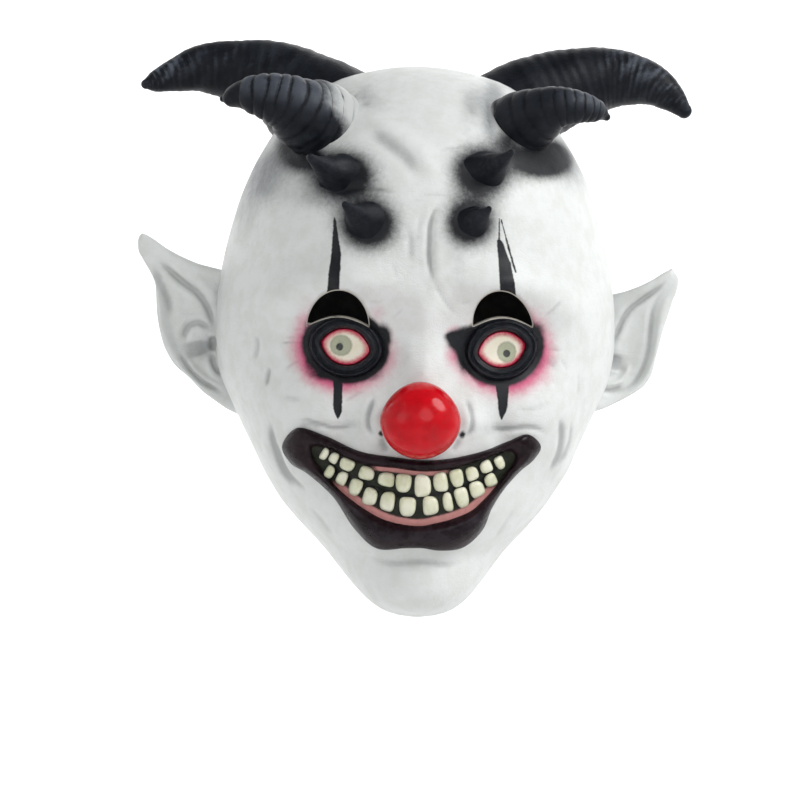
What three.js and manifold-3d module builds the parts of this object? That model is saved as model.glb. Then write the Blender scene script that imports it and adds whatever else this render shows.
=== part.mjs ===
// A horned clown mask: a latex hood for the whole head, with vision slots cut above its painted
// eyes, two pairs of black horns, four forehead spikes, pointed ears, a red ball nose and a wide
// dark-lipped grin with two rows of teeth.
//
// Millimetres, +Z up, the face looks along -Y. The origin is the inside of the crown, where the
// hood sits on the wearer's head. "down", and each name that ends in DOWN, is a share of
// HOOD_HEIGHT below the crown, and "turn" is an angle round the hood, 0 at the face and positive
// towards +X.

import * as THREE from "three";
import { mergeVertices } from "three/addons/utils/BufferGeometryUtils.js";
import Module from "manifold-3d";

const wasm = await Module();
wasm.setup();

// The hood
const HOOD_WIDTH = 212; // over the cheekbones
const HOOD_HEIGHT = 286.5; // crown to chin
const FACE_DEPTH = 106; // middle of the head to the brow
const NAPE_DEPTH = 112; // middle of the head to the back
const WALL = 2.4; // latex
const FACE_SEAM_Y = -34; // where the skin of the face meets that of the crown, before the ears
const NAPE_SEAM_Y = 16; // where the skin of the crown meets that of the nape, behind the ears
const SEAT_GAP = 0.3; // between a piece and the skin that it sits on
const SEAT_SINK = 4; // how far a seated piece is drawn into the skin before it is trimmed

// The eyes and the slots above them
const EYE_SPACING = 79.5; // between the middles of the painted eyes
const EYE_DOWN = 0.521;
const LID_WIDTH = 38;
const LID_HEIGHT = 31;
const LID_LIFT = 4.6;
const EYE_OPENING_WIDTH = 25;
const EYE_OPENING_HEIGHT = 18.5;
const EYEBALL_LIFT = 3.4;
const EYE_CLEARANCE = 0.4; // between the eyeball and the lids
const SLOT_WIDTH = 32;
const SLOT_RISE = 19;
const SLOT_ARCH = 5; // how far the slot's lower edge bows up
const HEARING_SLIT_WIDTH = 6;
const HEARING_SLIT_HEIGHT = 11;
const HEARING_SLIT_DOWN = 0.518;
const HEARING_SLIT_START = 6; // its back end, behind the middle of the head
const HEARING_SLIT_LENGTH = 22;

// The nose
const NOSE_RADIUS = 19.4;
const NOSE_X = -2;
const NOSE_DOWN = 0.647;
const NOSE_STAND = 5; // ball's centre in front of the skin

// The mouth
const MOUTH_X = -4.5;
const MOUTH_DOWN = 0.7693;
const MOUTH_HALF_WIDTH = 66;
const MOUTH_HALF_HEIGHT = 30;
const LIP_LIFT = 7;
const GUM_LIFT = 1.6;
const GUM_CLEARANCE = 0.5; // between the gums' edge and the lips
const TOOTH_WIDTH = 7.8;
const TOOTH_HEIGHT = 11;
const TOOTH_LIFT = 3.4; // off the gums
const TOOTH_LEAN = 0.011; // radians for each millimetre from the middle of the mouth

// The horns and spikes
const BIG_HORN_REACH = 84.5;
const BIG_HORN_ROOT = 30; // radius
const SMALL_HORN_REACH = 50;
const SMALL_HORN_ROOT = 20;
const SMALL_HORN_RINGS = 8;
const RING_RELIEF = 0.045; // share of the horn's radius
const SPIKE_ROOT = 12;
const SPIKE_STAND = 19;

// The ears
const EAR_REACH = 57; // the larger one's, from its seat on the hood
const EAR_HEIGHT = 76.4; // the larger one's, up its seat
const EAR_SEAT = 0.875; // share of the hood's half width
const EAR_THICKNESS = 5;
const EAR_CUP = 9; // how deep the hollow of the ear is
const EAR_Y = -8; // its front edge at the head
const EAR_SWEEP = 7; // how far the rim lies behind that

const LATEX_WHITE = 0xe9eaea;
const HORN_BLACK = 0x17181c;
const NOSE_RED = 0xc3121c;
const LIP_DARK = 0x2a1c20;
const GUM_GREEN = 0x3b3f33;
const TOOTH_CREAM = 0xd9dbc2;
const EYE_WHITE = 0xe6e0cc;

// Level sections of the hood, from crown to chin. Shares of half the width, of the face's depth
// (front and mid, the widest place) and of the nape's depth (back); square is the power of the
// section's round.
const SECTIONS = [
  { down: 0.0, half: 0.0, front: 0.0, mid: 0.0, back: 0.0, square: 2.0 },
  { down: 0.012, half: 0.26, front: 0.27, mid: 0.0, back: 0.27, square: 2.0 },
  { down: 0.03, half: 0.42, front: 0.42, mid: 0.0, back: 0.42, square: 2.1 },
  { down: 0.07, half: 0.585, front: 0.6, mid: 0.0, back: 0.61, square: 2.15 },
  { down: 0.135, half: 0.735, front: 0.77, mid: 0.0, back: 0.79, square: 2.2 },
  { down: 0.21, half: 0.845, front: 0.88, mid: 0.0, back: 0.9, square: 2.25 },
  { down: 0.28, half: 0.913, front: 0.94, mid: 0.0, back: 0.96, square: 2.3 },
  { down: 0.38, half: 0.975, front: 0.98, mid: 0.0, back: 1.0, square: 2.3 },
  { down: 0.45, half: 0.997, front: 0.97, mid: 0.0, back: 0.99, square: 2.3 },
  { down: 0.507, half: 1.0, front: 0.96, mid: 0.0, back: 0.965, square: 2.25 },
  { down: 0.56, half: 0.983, front: 0.962, mid: -0.01, back: 0.93, square: 2.2 },
  { down: 0.647, half: 0.885, front: 0.975, mid: -0.04, back: 0.855, square: 2.2 },
  { down: 0.709, half: 0.802, front: 0.985, mid: -0.08, back: 0.8, square: 2.15 },
  { down: 0.801, half: 0.663, front: 0.98, mid: -0.16, back: 0.71, square: 2.1 },
  { down: 0.834, half: 0.587, front: 0.965, mid: -0.2, back: 0.64, square: 2.1 },
  { down: 0.89, half: 0.4415, front: 0.93, mid: -0.3, back: 0.44, square: 2.1 },
  { down: 0.947, half: 0.311, front: 0.91, mid: -0.44, back: 0.04, square: 2.1 },
  { down: 0.974, half: 0.231, front: 0.87, mid: -0.54, back: -0.22, square: 2.1 },
  { down: 0.991, half: 0.15, front: 0.79, mid: -0.6, back: -0.42, square: 2.0 },
  { down: 1.0, half: 0.0, front: 0.64, mid: -0.64, back: -0.605, square: 2.0 },
];

// Swells and hollows of the face, each on both sides of the middle. Their place is told from the
// feature they belong to: out is a share of its half breadth, up a share of the face's depth
// above it. wide and tall are the reach, and lift the height, as shares of the face's depth.
const RELIEF = [
  { name: "forehead", by: "crown", out: 0.0, up: -0.66, wide: 0.32, tall: 0.3, lift: 0.04 },
  { name: "temple", by: "crown", out: 0.84, up: -1.0, wide: 0.13, tall: 0.24, lift: -0.03 },
  { name: "brow", by: "eyes", out: 0.96, up: 0.31, wide: 0.21, tall: 0.085, lift: 0.07 },
  { name: "brow_tail", by: "eyes", out: 1.76, up: 0.22, wide: 0.14, tall: 0.1, lift: 0.045 },
  { name: "frown", by: "eyes", out: 0.0, up: 0.19, wide: 0.09, tall: 0.1, lift: 0.035 },
  { name: "socket", by: "eyes", out: 0.99, up: 0.0, wide: 0.2, tall: 0.15, lift: -0.075 },
  { name: "bridge", by: "nose", out: 0.0, up: 0.235, wide: 0.1, tall: 0.17, lift: 0.075 },
  { name: "ball_seat", by: "nose", out: 0.0, up: -0.02, wide: 0.17, tall: 0.14, lift: 0.09 },
  { name: "wing", by: "nose", out: 1.15, up: 0.005, wide: 0.065, tall: 0.075, lift: 0.055 },
  { name: "cheekbone", by: "nose", out: 3.06, up: 0.045, wide: 0.2, tall: 0.17, lift: 0.06 },
  { name: "laugh_fold", by: "nose", out: 2.02, up: -0.05, wide: 0.05, tall: 0.09, lift: -0.03 },
  { name: "cheek_apple", by: "mouth", out: 1.09, up: 0.13, wide: 0.1, tall: 0.12, lift: 0.03 },
  { name: "muzzle", by: "mouth", out: 0.0, up: -0.03, wide: 0.4, tall: 0.2, lift: 0.045 },
  { name: "teeth_bed", by: "mouth", out: 0.0, up: 0.01, wide: 0.32, tall: 0.13, lift: -0.025 },
  { name: "chin_crease", by: "mouth", out: 0.0, up: -0.315, wide: 0.22, tall: 0.035, lift: -0.025 },
  { name: "chin", by: "chin", out: 0.0, up: 0.15, wide: 0.2, tall: 0.12, lift: 0.05 },
];

// The hood's open edge seen from the side, from under the chin to the nape, as shares of the
// face's depth (fore, negative towards the back) and of the height.
const RIM = [
  { fore: 1.4, down: 1.06 },
  { fore: 0.76, down: 1.015 },
  { fore: 0.59, down: 0.988 },
  { fore: 0.38, down: 0.942 },
  { fore: 0.1, down: 0.884 },
  { fore: -0.2, down: 0.842 },
  { fore: -0.6, down: 0.812 },
  { fore: -1.4, down: 0.79 },
];

// Each eye: its place and the lean of its lids. Its vision slot lies slotOut of the slot's width
// outwards from the eye and slotUp of the lids' height above it, and its dome leans to peak.
const EYES = [
  { name: "left", side: -1, place: 0.99, lean: 0.17, slotOut: 0.125, slotUp: 0.316, peak: 0.5 },
  { name: "right", side: 1, place: 1.01, lean: -0.19, slotOut: 0.0125, slotUp: 0.348, peak: 0.42 },
].map((eye) => ({ ...eye, x: (eye.side * eye.place * EYE_SPACING) / 2 }));

// The lips' outer and inner edge, clockwise from the left corner, as shares of the mouth's half
// width and half height, and how full the lip is as a share of LIP_LIFT.
const LIPS = [
  { outX: -1.0, outZ: 0.65, inX: -0.765, inZ: 0.53, full: 0.75 },
  { outX: -0.89, outZ: 0.98, inX: -0.765, inZ: 0.66, full: 0.75 },
  { outX: -0.68, outZ: 0.87, inX: -0.65, inZ: 0.64, full: 0.65 },
  { outX: -0.41, outZ: 0.62, inX: -0.41, inZ: 0.41, full: 0.6 },
  { outX: -0.14, outZ: 0.535, inX: -0.14, inZ: 0.345, full: 0.65 },
  { outX: 0.065, outZ: 0.495, inX: 0.06, inZ: 0.3, full: 0.7 },
  { outX: 0.27, outZ: 0.525, inX: 0.265, inZ: 0.335, full: 0.65 },
  { outX: 0.55, outZ: 0.665, inX: 0.5, inZ: 0.48, full: 0.6 },
  { outX: 0.73, outZ: 0.82, inX: 0.64, inZ: 0.59, full: 0.65 },
  { outX: 0.89, outZ: 0.94, inX: 0.75, inZ: 0.64, full: 0.75 },
  { outX: 1.0, outZ: 0.73, inX: 0.79, inZ: 0.575, full: 0.75 },
  { outX: 0.95, outZ: 0.51, inX: 0.78, inZ: 0.47, full: 0.75 },
  { outX: 0.835, outZ: 0.3, inX: 0.72, inZ: 0.3, full: 0.7 },
  { outX: 0.7, outZ: -0.03, inX: 0.63, inZ: 0.035, full: 0.75 },
  { outX: 0.615, outZ: -0.33, inX: 0.54, inZ: -0.18, full: 0.85 },
  { outX: 0.55, outZ: -0.69, inX: 0.45, inZ: -0.35, full: 1.0 },
  { outX: 0.4, outZ: -0.99, inX: 0.3, inZ: -0.49, full: 1.0 },
  { outX: 0.215, outZ: -1.04, inX: 0.19, inZ: -0.555, full: 1.0 },
  { outX: 0.08, outZ: -1.0, inX: 0.075, inZ: -0.61, full: 0.95 },
  { outX: -0.045, outZ: -1.005, inX: -0.045, inZ: -0.6, full: 0.95 },
  { outX: -0.26, outZ: -1.03, inX: -0.2, inZ: -0.53, full: 1.0 },
  { outX: -0.43, outZ: -0.72, inX: -0.34, inZ: -0.385, full: 1.0 },
  { outX: -0.605, outZ: -0.17, inX: -0.53, inZ: -0.09, full: 0.8 },
  { outX: -0.815, outZ: 0.22, inX: -0.66, inZ: 0.2, full: 0.75 },
  { outX: -0.925, outZ: 0.355, inX: -0.73, inZ: 0.385, full: 0.75 },
];

// The painted teeth, from left to right: x and z as shares of the mouth's half sizes, wide and
// high as shares of the largest tooth.
const UPPER_TEETH = [
  { x: -0.676, z: 0.555, wide: 0.45, high: 0.56 },
  { x: -0.603, z: 0.49, wide: 0.55, high: 0.5 },
  { x: -0.503, z: 0.39, wide: 0.9, high: 0.54 },
  { x: -0.356, z: 0.25, wide: 0.92, high: 0.59 },
  { x: -0.203, z: 0.155, wide: 0.98, high: 0.62 },
  { x: -0.075, z: 0.11, wide: 0.95, high: 0.82 },
  { x: 0.07, z: 0.065, wide: 1.0, high: 1.0 },
  { x: 0.21, z: 0.128, wide: 0.88, high: 0.86 },
  { x: 0.333, z: 0.205, wide: 0.81, high: 0.8 },
  { x: 0.45, z: 0.272, wide: 0.77, high: 0.62 },
  { x: 0.562, z: 0.392, wide: 0.76, high: 0.56 },
  { x: 0.667, z: 0.465, wide: 0.6, high: 0.6 },
];
const LOWER_TEETH = [
  { x: -0.636, z: 0.25, wide: 0.55, high: 0.6 },
  { x: -0.539, z: 0.15, wide: 0.64, high: 0.62 },
  { x: -0.436, z: 0.015, wide: 0.76, high: 0.76 },
  { x: -0.327, z: -0.14, wide: 0.85, high: 0.78 },
  { x: -0.192, z: -0.213, wide: 0.87, high: 0.86 },
  { x: -0.041, z: -0.285, wide: 0.99, high: 0.86 },
  { x: 0.133, z: -0.27, wide: 0.95, high: 0.84 },
  { x: 0.267, z: -0.205, wide: 0.6, high: 0.84 },
  { x: 0.374, z: -0.12, wide: 0.83, high: 0.9 },
  { x: 0.491, z: 0.01, wide: 0.9, high: 0.72 },
  { x: 0.6, z: 0.165, wide: 0.76, high: 0.58 },
];

// Each horn's run from inside the hood to its tip: out, back and up as shares of its reach from
// its seat, thick as a share of its root radius.
const BIG_HORN_LEFT = [
  { out: -0.28, back: -0.05, up: -0.14, thick: 1.1 },
  { out: -0.05, back: 0.0, up: 0.035, thick: 0.91 },
  { out: 0.16, back: 0.04, up: 0.165, thick: 0.71 },
  { out: 0.4, back: 0.06, up: 0.22, thick: 0.56 },
  { out: 0.62, back: 0.04, up: 0.232, thick: 0.435 },
  { out: 0.8, back: 0.0, up: 0.18, thick: 0.295 },
  { out: 0.93, back: -0.045, up: 0.132, thick: 0.18 },
  { out: 0.975, back: -0.065, up: 0.118, thick: 0.09 },
];
const BIG_HORN_RIGHT = [
  { out: -0.28, back: -0.05, up: -0.14, thick: 1.0 },
  { out: -0.05, back: 0.0, up: 0.045, thick: 0.82 },
  { out: 0.19, back: 0.04, up: 0.155, thick: 0.7 },
  { out: 0.435, back: 0.06, up: 0.218, thick: 0.575 },
  { out: 0.61, back: 0.04, up: 0.218, thick: 0.475 },
  { out: 0.755, back: 0.0, up: 0.18, thick: 0.375 },
  { out: 0.86, back: -0.02, up: 0.11, thick: 0.275 },
  { out: 0.95, back: -0.045, up: 0.02, thick: 0.14 },
];
const SMALL_HORN_LEFT = [
  { out: -0.2, back: 0.24, up: -0.2, thick: 1.1 },
  { out: -0.01, back: 0.0, up: 0.0, thick: 1.04 },
  { out: 0.17, back: -0.17, up: 0.07, thick: 0.93 },
  { out: 0.35, back: -0.28, up: 0.17, thick: 0.74 },
  { out: 0.58, back: -0.3, up: 0.235, thick: 0.58 },
  { out: 0.81, back: -0.25, up: 0.245, thick: 0.4 },
  { out: 0.94, back: -0.19, up: 0.215, thick: 0.26 },
  { out: 0.99, back: -0.16, up: 0.21, thick: 0.12 },
];
const SMALL_HORN_RIGHT = [
  { out: -0.24, back: 0.24, up: -0.16, thick: 1.0 },
  { out: -0.07, back: 0.0, up: 0.0, thick: 0.9 },
  { out: 0.1, back: -0.17, up: 0.1, thick: 0.74 },
  { out: 0.28, back: -0.28, up: 0.18, thick: 0.55 },
  { out: 0.48, back: -0.3, up: 0.19, thick: 0.43 },
  { out: 0.63, back: -0.25, up: 0.17, thick: 0.34 },
  { out: 0.74, back: -0.19, up: 0.14, thick: 0.24 },
  { out: 0.8, back: -0.16, up: 0.105, thick: 0.12 },
];

// Spikes: where they stand on the forehead, and where the tip points from there, as shares of
// the spike's stand.
const SPIKES = [
  { name: "upper_left", across: -0.427, down: 0.218, root: 1.0, stand: 1.0, out: -0.78, up: 0.47 },
  { name: "upper_right", across: 0.294, down: 0.207, root: 0.95, stand: 1.0, out: 0.6, up: 0.52 },
  { name: "lower_left", across: -0.293, down: 0.3, root: 0.93, stand: 0.9, out: -0.65, up: 0.5 },
  { name: "lower_right", across: 0.227, down: 0.298, root: 0.78, stand: 0.88, out: 0.42, up: 0.42 },
];

// Each ear, then its level slices from the lobe up: the edge at the head and the free rim of
// either ear as shares of its reach, and the depth of its hollow.
const EARS = [
  { name: "left", side: -1, rim: "leftRim", reach: 1.0, height: 1.0, lobe: 0.654 },
  { name: "right", side: 1, rim: "rightRim", reach: 0.851, height: 0.818, lobe: 0.64 },
];
const EAR_SLICES = [
  { rise: 0.0, root: -0.12, leftRim: 0.02, rightRim: 0.05, cup: 0.0, thick: 0.6 },
  { rise: 0.08, root: -0.12, leftRim: 0.18, rightRim: 0.27, cup: 0.15, thick: 0.8 },
  { rise: 0.165, root: -0.08, leftRim: 0.34, rightRim: 0.475, cup: 0.4, thick: 0.9 },
  { rise: 0.26, root: -0.02, leftRim: 0.47, rightRim: 0.64, cup: 0.65, thick: 1.0 },
  { rise: 0.36, root: 0.02, leftRim: 0.62, rightRim: 0.715, cup: 0.9, thick: 1.0 },
  { rise: 0.51, root: 0.06, leftRim: 0.725, rightRim: 0.76, cup: 1.0, thick: 1.0 },
  { rise: 0.7, root: 0.08, leftRim: 0.78, rightRim: 0.82, cup: 0.95, thick: 1.0 },
  { rise: 0.9, root: 0.06, leftRim: 0.8, rightRim: 0.9, cup: 0.7, thick: 1.0 },
  { rise: 0.99, root: 0.1, leftRim: 0.85, rightRim: 0.934, cup: 0.55, thick: 1.0 },
  { rise: 1.06, root: 0.42, leftRim: 0.905, rightRim: 0.97, cup: 0.35, thick: 0.9 },
  { rise: 1.15, root: 0.68, leftRim: 0.965, rightRim: 0.99, cup: 0.15, thick: 0.75 },
  { rise: 1.26, root: 0.885, leftRim: 0.975, rightRim: 0.935, cup: 0.0, thick: 0.5 },
];

const HALF_WIDTH = HOOD_WIDTH / 2;
const levelOf = (down) => WALL - down * HOOD_HEIGHT;
const EYE_Z = levelOf(EYE_DOWN);
const NOSE_Z = levelOf(NOSE_DOWN);
const MOUTH_Z = levelOf(MOUTH_DOWN);
const FEATURES = {
  crown: { z: levelOf(0), half: HALF_WIDTH },
  eyes: { z: EYE_Z, half: EYE_SPACING / 2 },
  nose: { z: NOSE_Z, half: NOSE_RADIUS },
  mouth: { z: MOUTH_Z, half: MOUTH_HALF_WIDTH },
  chin: { z: levelOf(1), half: HALF_WIDTH },
};

// A monotone curve through one column of a table, so that no section bulges between its rows.
function curveThrough(at, values) {
  const last = at.length - 1;
  const slopes = at.slice(1).map((t, i) => (values[i + 1] - values[i]) / (t - at[i]));
  const tangents = at.map((_, i) => {
    if (i === 0) return slopes[0];
    if (i === last) return slopes[last - 1];
    const [before, after] = [slopes[i - 1], slopes[i]];
    return before * after <= 0 ? 0 : (2 * before * after) / (before + after);
  });
  return (t) => {
    let i = 0;
    while (i < last - 1 && t > at[i + 1]) i += 1;
    const step = at[i + 1] - at[i];
    const u = THREE.MathUtils.clamp((t - at[i]) / step, 0, 1);
    const v = 1 - u;
    return (
      values[i] * v * v * (1 + 2 * u) +
      tangents[i] * step * u * v * v +
      values[i + 1] * u * u * (3 - 2 * u) -
      tangents[i + 1] * step * u * u * v
    );
  };
}

// The columns are drawn over this angle, which makes both ends of the hood round.
const poleAngle = (down) => Math.acos(1 - 2 * THREE.MathUtils.clamp(down, 0, 1));
const sectionAngles = SECTIONS.map((row) => poleAngle(row.down));
const sectionCurve = Object.fromEntries(
  ["half", "front", "mid", "back", "square"].map((key) => [
    key,
    curveThrough(
      sectionAngles,
      SECTIONS.map((row) => row[key]),
    ),
  ]),
);

// A point of the hood's plain outer surface, before the face's swells and hollows.
function bareSkin(turn, down) {
  const angle = poleAngle(down);
  const power = sectionCurve.square(angle);
  const across = Math.sin(turn);
  const along = Math.max(0, 1 - Math.abs(across) ** power) ** (1 / power);
  const mid = sectionCurve.mid(angle) * FACE_DEPTH;
  const reach =
    Math.cos(turn) > 0
      ? -sectionCurve.front(angle) * FACE_DEPTH - mid
      : sectionCurve.back(angle) * NAPE_DEPTH - mid;
  return new THREE.Vector3(
    across * sectionCurve.half(angle) * HALF_WIDTH,
    mid + reach * along,
    levelOf(down),
  );
}

function skinNormal(turn, down) {
  const step = 0.004;
  const level = THREE.MathUtils.clamp(down, 2 * step, 1 - 2 * step);
  const along = bareSkin(turn + step, level).sub(bareSkin(turn - step, level));
  const up = bareSkin(turn, level - step).sub(bareSkin(turn, level + step));
  return along.cross(up).normalize();
}

function faceRelief(point, turn) {
  const facing = THREE.MathUtils.smoothstep(Math.cos(turn), -0.05, 0.35);
  return RELIEF.reduce((sum, row) => {
    const { z, half } = FEATURES[row.by];
    const sideways = (Math.abs(point.x) - row.out * half) / (row.wide * FACE_DEPTH);
    const upward = (point.z - z - row.up * FACE_DEPTH) / (row.tall * FACE_DEPTH);
    return sum + facing * row.lift * FACE_DEPTH * Math.exp(-sideways * sideways - upward * upward);
  }, 0);
}

// A point that stands "lift" off the hood's outer surface.
function skin(turn, down, lift = 0) {
  const point = bareSkin(turn, down);
  return point.addScaledVector(skinNormal(turn, down), faceRelief(point, turn) + lift);
}

// The same, found by where it is seen from the front.
function onFace(x, z, lift = 0) {
  let down = (WALL - z) / HOOD_HEIGHT;
  let turn = Math.asin(THREE.MathUtils.clamp(x / HALF_WIDTH, -0.9, 0.9));
  let point = skin(turn, down, lift);
  for (let round = 0; round < 14; round += 1) {
    const half = Math.max(0.1, sectionCurve.half(poleAngle(down))) * HALF_WIDTH;
    turn += (0.8 * (x - point.x)) / (half * Math.max(0.35, Math.cos(turn)));
    down -= (0.8 * (z - point.z)) / HOOD_HEIGHT;
    point = skin(turn, down, lift);
  }
  return point;
}

// Solids and booleans
function toSolid(geometry) {
  const bare = new THREE.BufferGeometry()
    .setAttribute("position", geometry.getAttribute("position"))
    .setIndex(geometry.index);
  const merged = mergeVertices(bare, 1e-4);
  const triVerts = new Uint32Array(merged.index.array);
  const vertProperties = new Float32Array(merged.attributes.position.array);
  return new wasm.Manifold(new wasm.Mesh({ numProp: 3, vertProperties, triVerts }));
}

function toGeometry(solid) {
  const mesh = solid.getMesh();
  const geometry = new THREE.BufferGeometry();
  geometry.setAttribute("position", new THREE.BufferAttribute(mesh.vertProperties, 3));
  geometry.setIndex(new THREE.BufferAttribute(mesh.triVerts, 1));
  geometry.computeVertexNormals();
  return geometry;
}

// A closed body over rows of points. Each row is a ring; "around" joins the last row to the first,
// and otherwise the two ends are closed with a fan onto the given tips or the rings' middles.
function loftSolid(rings, { around = false, startTip, endTip } = {}) {
  const count = rings[0].length;
  const points = rings.flat();
  const faces = [];
  const rowPairs = around ? rings.length : rings.length - 1;
  for (let row = 0; row < rowPairs; row += 1) {
    const below = row * count;
    const above = ((row + 1) % rings.length) * count;
    for (let k = 0; k < count; k += 1) {
      const next = (k + 1) % count;
      faces.push([below + k, below + next, above + next], [below + k, above + next, above + k]);
    }
  }
  const middle = (ring) =>
    ring.reduce((sum, p) => sum.add(p), new THREE.Vector3()).divideScalar(count);
  if (!around) {
    const start = points.push(startTip ?? middle(rings[0])) - 1;
    const end = points.push(endTip ?? middle(rings.at(-1))) - 1;
    const lastRow = (rings.length - 1) * count;
    for (let k = 0; k < count; k += 1) {
      const next = (k + 1) % count;
      faces.push([start, next, k], [end, lastRow + k, lastRow + next]);
    }
  }
  const build = (triangles) =>
    toSolid(new THREE.BufferGeometry().setFromPoints(points).setIndex(triangles.flat()));
  const made = build(faces);
  return made.volume() > 0 ? made : build(faces.map(([a, b, c]) => [a, c, b]));
}

// A flat outline pushed through the hood. Its two numbers run along "across" and +Z.
function prism(outline, from, depth, across, through) {
  const geometry = new THREE.ExtrudeGeometry(new THREE.Shape(outline), {
    depth,
    bevelEnabled: false,
  });
  const place = new THREE.Matrix4().makeBasis(across, new THREE.Vector3(0, 0, 1), through);
  place.setPosition(through.clone().multiplyScalar(from));
  geometry.applyMatrix4(place);
  geometry.setIndex([...Array(geometry.getAttribute("position").count).keys()]);
  return toSolid(geometry);
}

const AXIS_X = new THREE.Vector3(1, 0, 0);
const AXIS_Y = new THREE.Vector3(0, 1, 0);

// The hood's grid: close columns and rows over the face, wide ones at the back.
const FACE_TURN = THREE.MathUtils.degToRad(90);
const FACE_COLUMNS = 24;
const BACK_COLUMNS = 6;
const CROWN_ROWS = 6;
const FACE_ROWS = 18;
const CHIN_ROWS = 5;
const FACE_TOP = 0.36;
const CHIN_TOP = 0.92;

function hoodTurns() {
  const face = Array.from(
    { length: FACE_COLUMNS },
    (_, k) => -FACE_TURN + (2 * FACE_TURN * k) / FACE_COLUMNS,
  );
  const backTurn = 2 * Math.PI - 2 * FACE_TURN;
  const back = Array.from(
    { length: BACK_COLUMNS },
    (_, k) => FACE_TURN + (backTurn * k) / BACK_COLUMNS,
  );
  return [...face, ...back];
}

function hoodLevels() {
  const quarter = Math.PI / 2;
  const crown = Array.from(
    { length: CROWN_ROWS },
    (_, k) => FACE_TOP * (1 - Math.cos(((k + 1) / CROWN_ROWS) * quarter)),
  );
  const face = Array.from(
    { length: FACE_ROWS },
    (_, k) => FACE_TOP + ((CHIN_TOP - FACE_TOP) * (k + 1)) / FACE_ROWS,
  );
  const chin = Array.from(
    { length: CHIN_ROWS - 1 },
    (_, k) => CHIN_TOP + (1 - CHIN_TOP) * Math.sin(((k + 1) / CHIN_ROWS) * quarter),
  );
  return [...crown, ...face, ...chin];
}

// The whole closed form of the hood, with its surface moved out by "lift".
function hoodForm(lift) {
  const turns = hoodTurns();
  const rings = hoodLevels().map((down) => turns.map((turn) => skin(turn, down, lift)));
  const tips = { startTip: skin(0, 0, lift), endTip: skin(0, 1, lift) };
  return loftSolid(rings, tips);
}

function belowRim() {
  const edge = RIM.map((row) => new THREE.Vector2(-row.fore * FACE_DEPTH, levelOf(row.down)));
  const floor = levelOf(1.3);
  const outline = [
    ...edge,
    new THREE.Vector2(edge.at(-1).x, floor),
    new THREE.Vector2(edge[0].x, floor),
  ];
  return prism(outline, -HOOD_WIDTH, 2 * HOOD_WIDTH, AXIS_Y, AXIS_X);
}

// The vision slot is a low dome whose lower edge bows up over the lid.
function visionSlot(eye) {
  const middle = eye.x + eye.side * eye.slotOut * SLOT_WIDTH;
  const sill = EYE_Z + eye.slotUp * LID_HEIGHT;
  const half = SLOT_WIDTH / 2;
  const steps = 10;
  const outline = [];
  for (let k = 0; k <= steps; k += 1) {
    const angle = Math.PI * (1 - k / steps);
    const skew = (eye.peak - 0.5) * SLOT_WIDTH * Math.sin(angle);
    outline.push(
      new THREE.Vector2(middle + half * Math.cos(angle) + skew, sill + SLOT_RISE * Math.sin(angle)),
    );
  }
  for (let k = 1; k < steps; k += 1) {
    const share = 1 - k / steps;
    const bow = SLOT_ARCH * Math.sin(Math.PI * share);
    outline.push(new THREE.Vector2(middle - half + SLOT_WIDTH * share, sill + bow));
  }
  return prism(outline.reverse(), 0, 1.5 * FACE_DEPTH, AXIS_X, AXIS_Y.clone().negate());
}

// A narrow diamond through the wall between the cheek and the ear's bowl.
function hearingSlit(side) {
  const middle = side * (HALF_WIDTH - WALL / 2);
  const half = HEARING_SLIT_WIDTH / 2;
  const level = levelOf(HEARING_SLIT_DOWN);
  const outline = [
    new THREE.Vector2(middle - half, level),
    new THREE.Vector2(middle, level - HEARING_SLIT_HEIGHT / 2),
    new THREE.Vector2(middle + half, level),
    new THREE.Vector2(middle, level + HEARING_SLIT_HEIGHT / 2),
  ];
  const through = AXIS_Y.clone().negate();
  return prism(outline, -HEARING_SLIT_START, HEARING_SLIT_LENGTH, AXIS_X, through);
}

const seatForm = hoodForm(SEAT_GAP);
const slots = EYES.map(visionSlot);
const slits = [-1, 1].map(hearingSlit);

// The hood's skin in three panels, which meet in front of the ears and behind them.
function hoodSkins() {
  const cuts = [hoodForm(-WALL), belowRim(), ...slots, ...slits];
  const skins = cuts.reduce((shell, cut) => shell.subtract(cut), hoodForm(0));
  const forwards = AXIS_Y.clone().negate().toArray();
  const backwards = AXIS_Y.toArray();
  const edge = SEAT_GAP / 2;
  return {
    face: skins.trimByPlane(forwards, edge - FACE_SEAM_Y),
    crown: skins
      .trimByPlane(backwards, edge + FACE_SEAM_Y)
      .trimByPlane(forwards, edge - NAPE_SEAM_Y),
    nape: skins.trimByPlane(backwards, edge + NAPE_SEAM_Y),
  };
}

// A round horn swept along its table's rows, trimmed where it meets the hood.
function horn(rows, side, seat, reach, root, { sides, sections, rings = 0 }) {
  const path = new THREE.CatmullRomCurve3(
    rows.map((row) => new THREE.Vector3(side * row.out, row.back, row.up).multiplyScalar(reach)),
  );
  const thickness = curveThrough(
    rows.map((_, i) => i / (rows.length - 1)),
    rows.map((row) => row.thick * root),
  );
  const loops = [];
  for (let k = 0; k <= sections; k += 1) {
    const t = k / sections;
    const along = path.getTangent(t);
    const back = AXIS_Y.clone().addScaledVector(along, -along.y).normalize();
    const up = along.clone().cross(back);
    const ringed = rings ? 1 + RING_RELIEF * Math.cos(2 * Math.PI * rings * t) : 1;
    const radius = thickness(t) * ringed;
    loops.push(circleOf(path.getPoint(t).add(seat), back, up, radius, sides));
  }
  const tip = path.getPoint(1).add(seat);
  tip.addScaledVector(path.getTangent(1), thickness(1));
  return loftSolid(loops, { endTip: tip }).subtract(seatForm);
}

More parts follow.
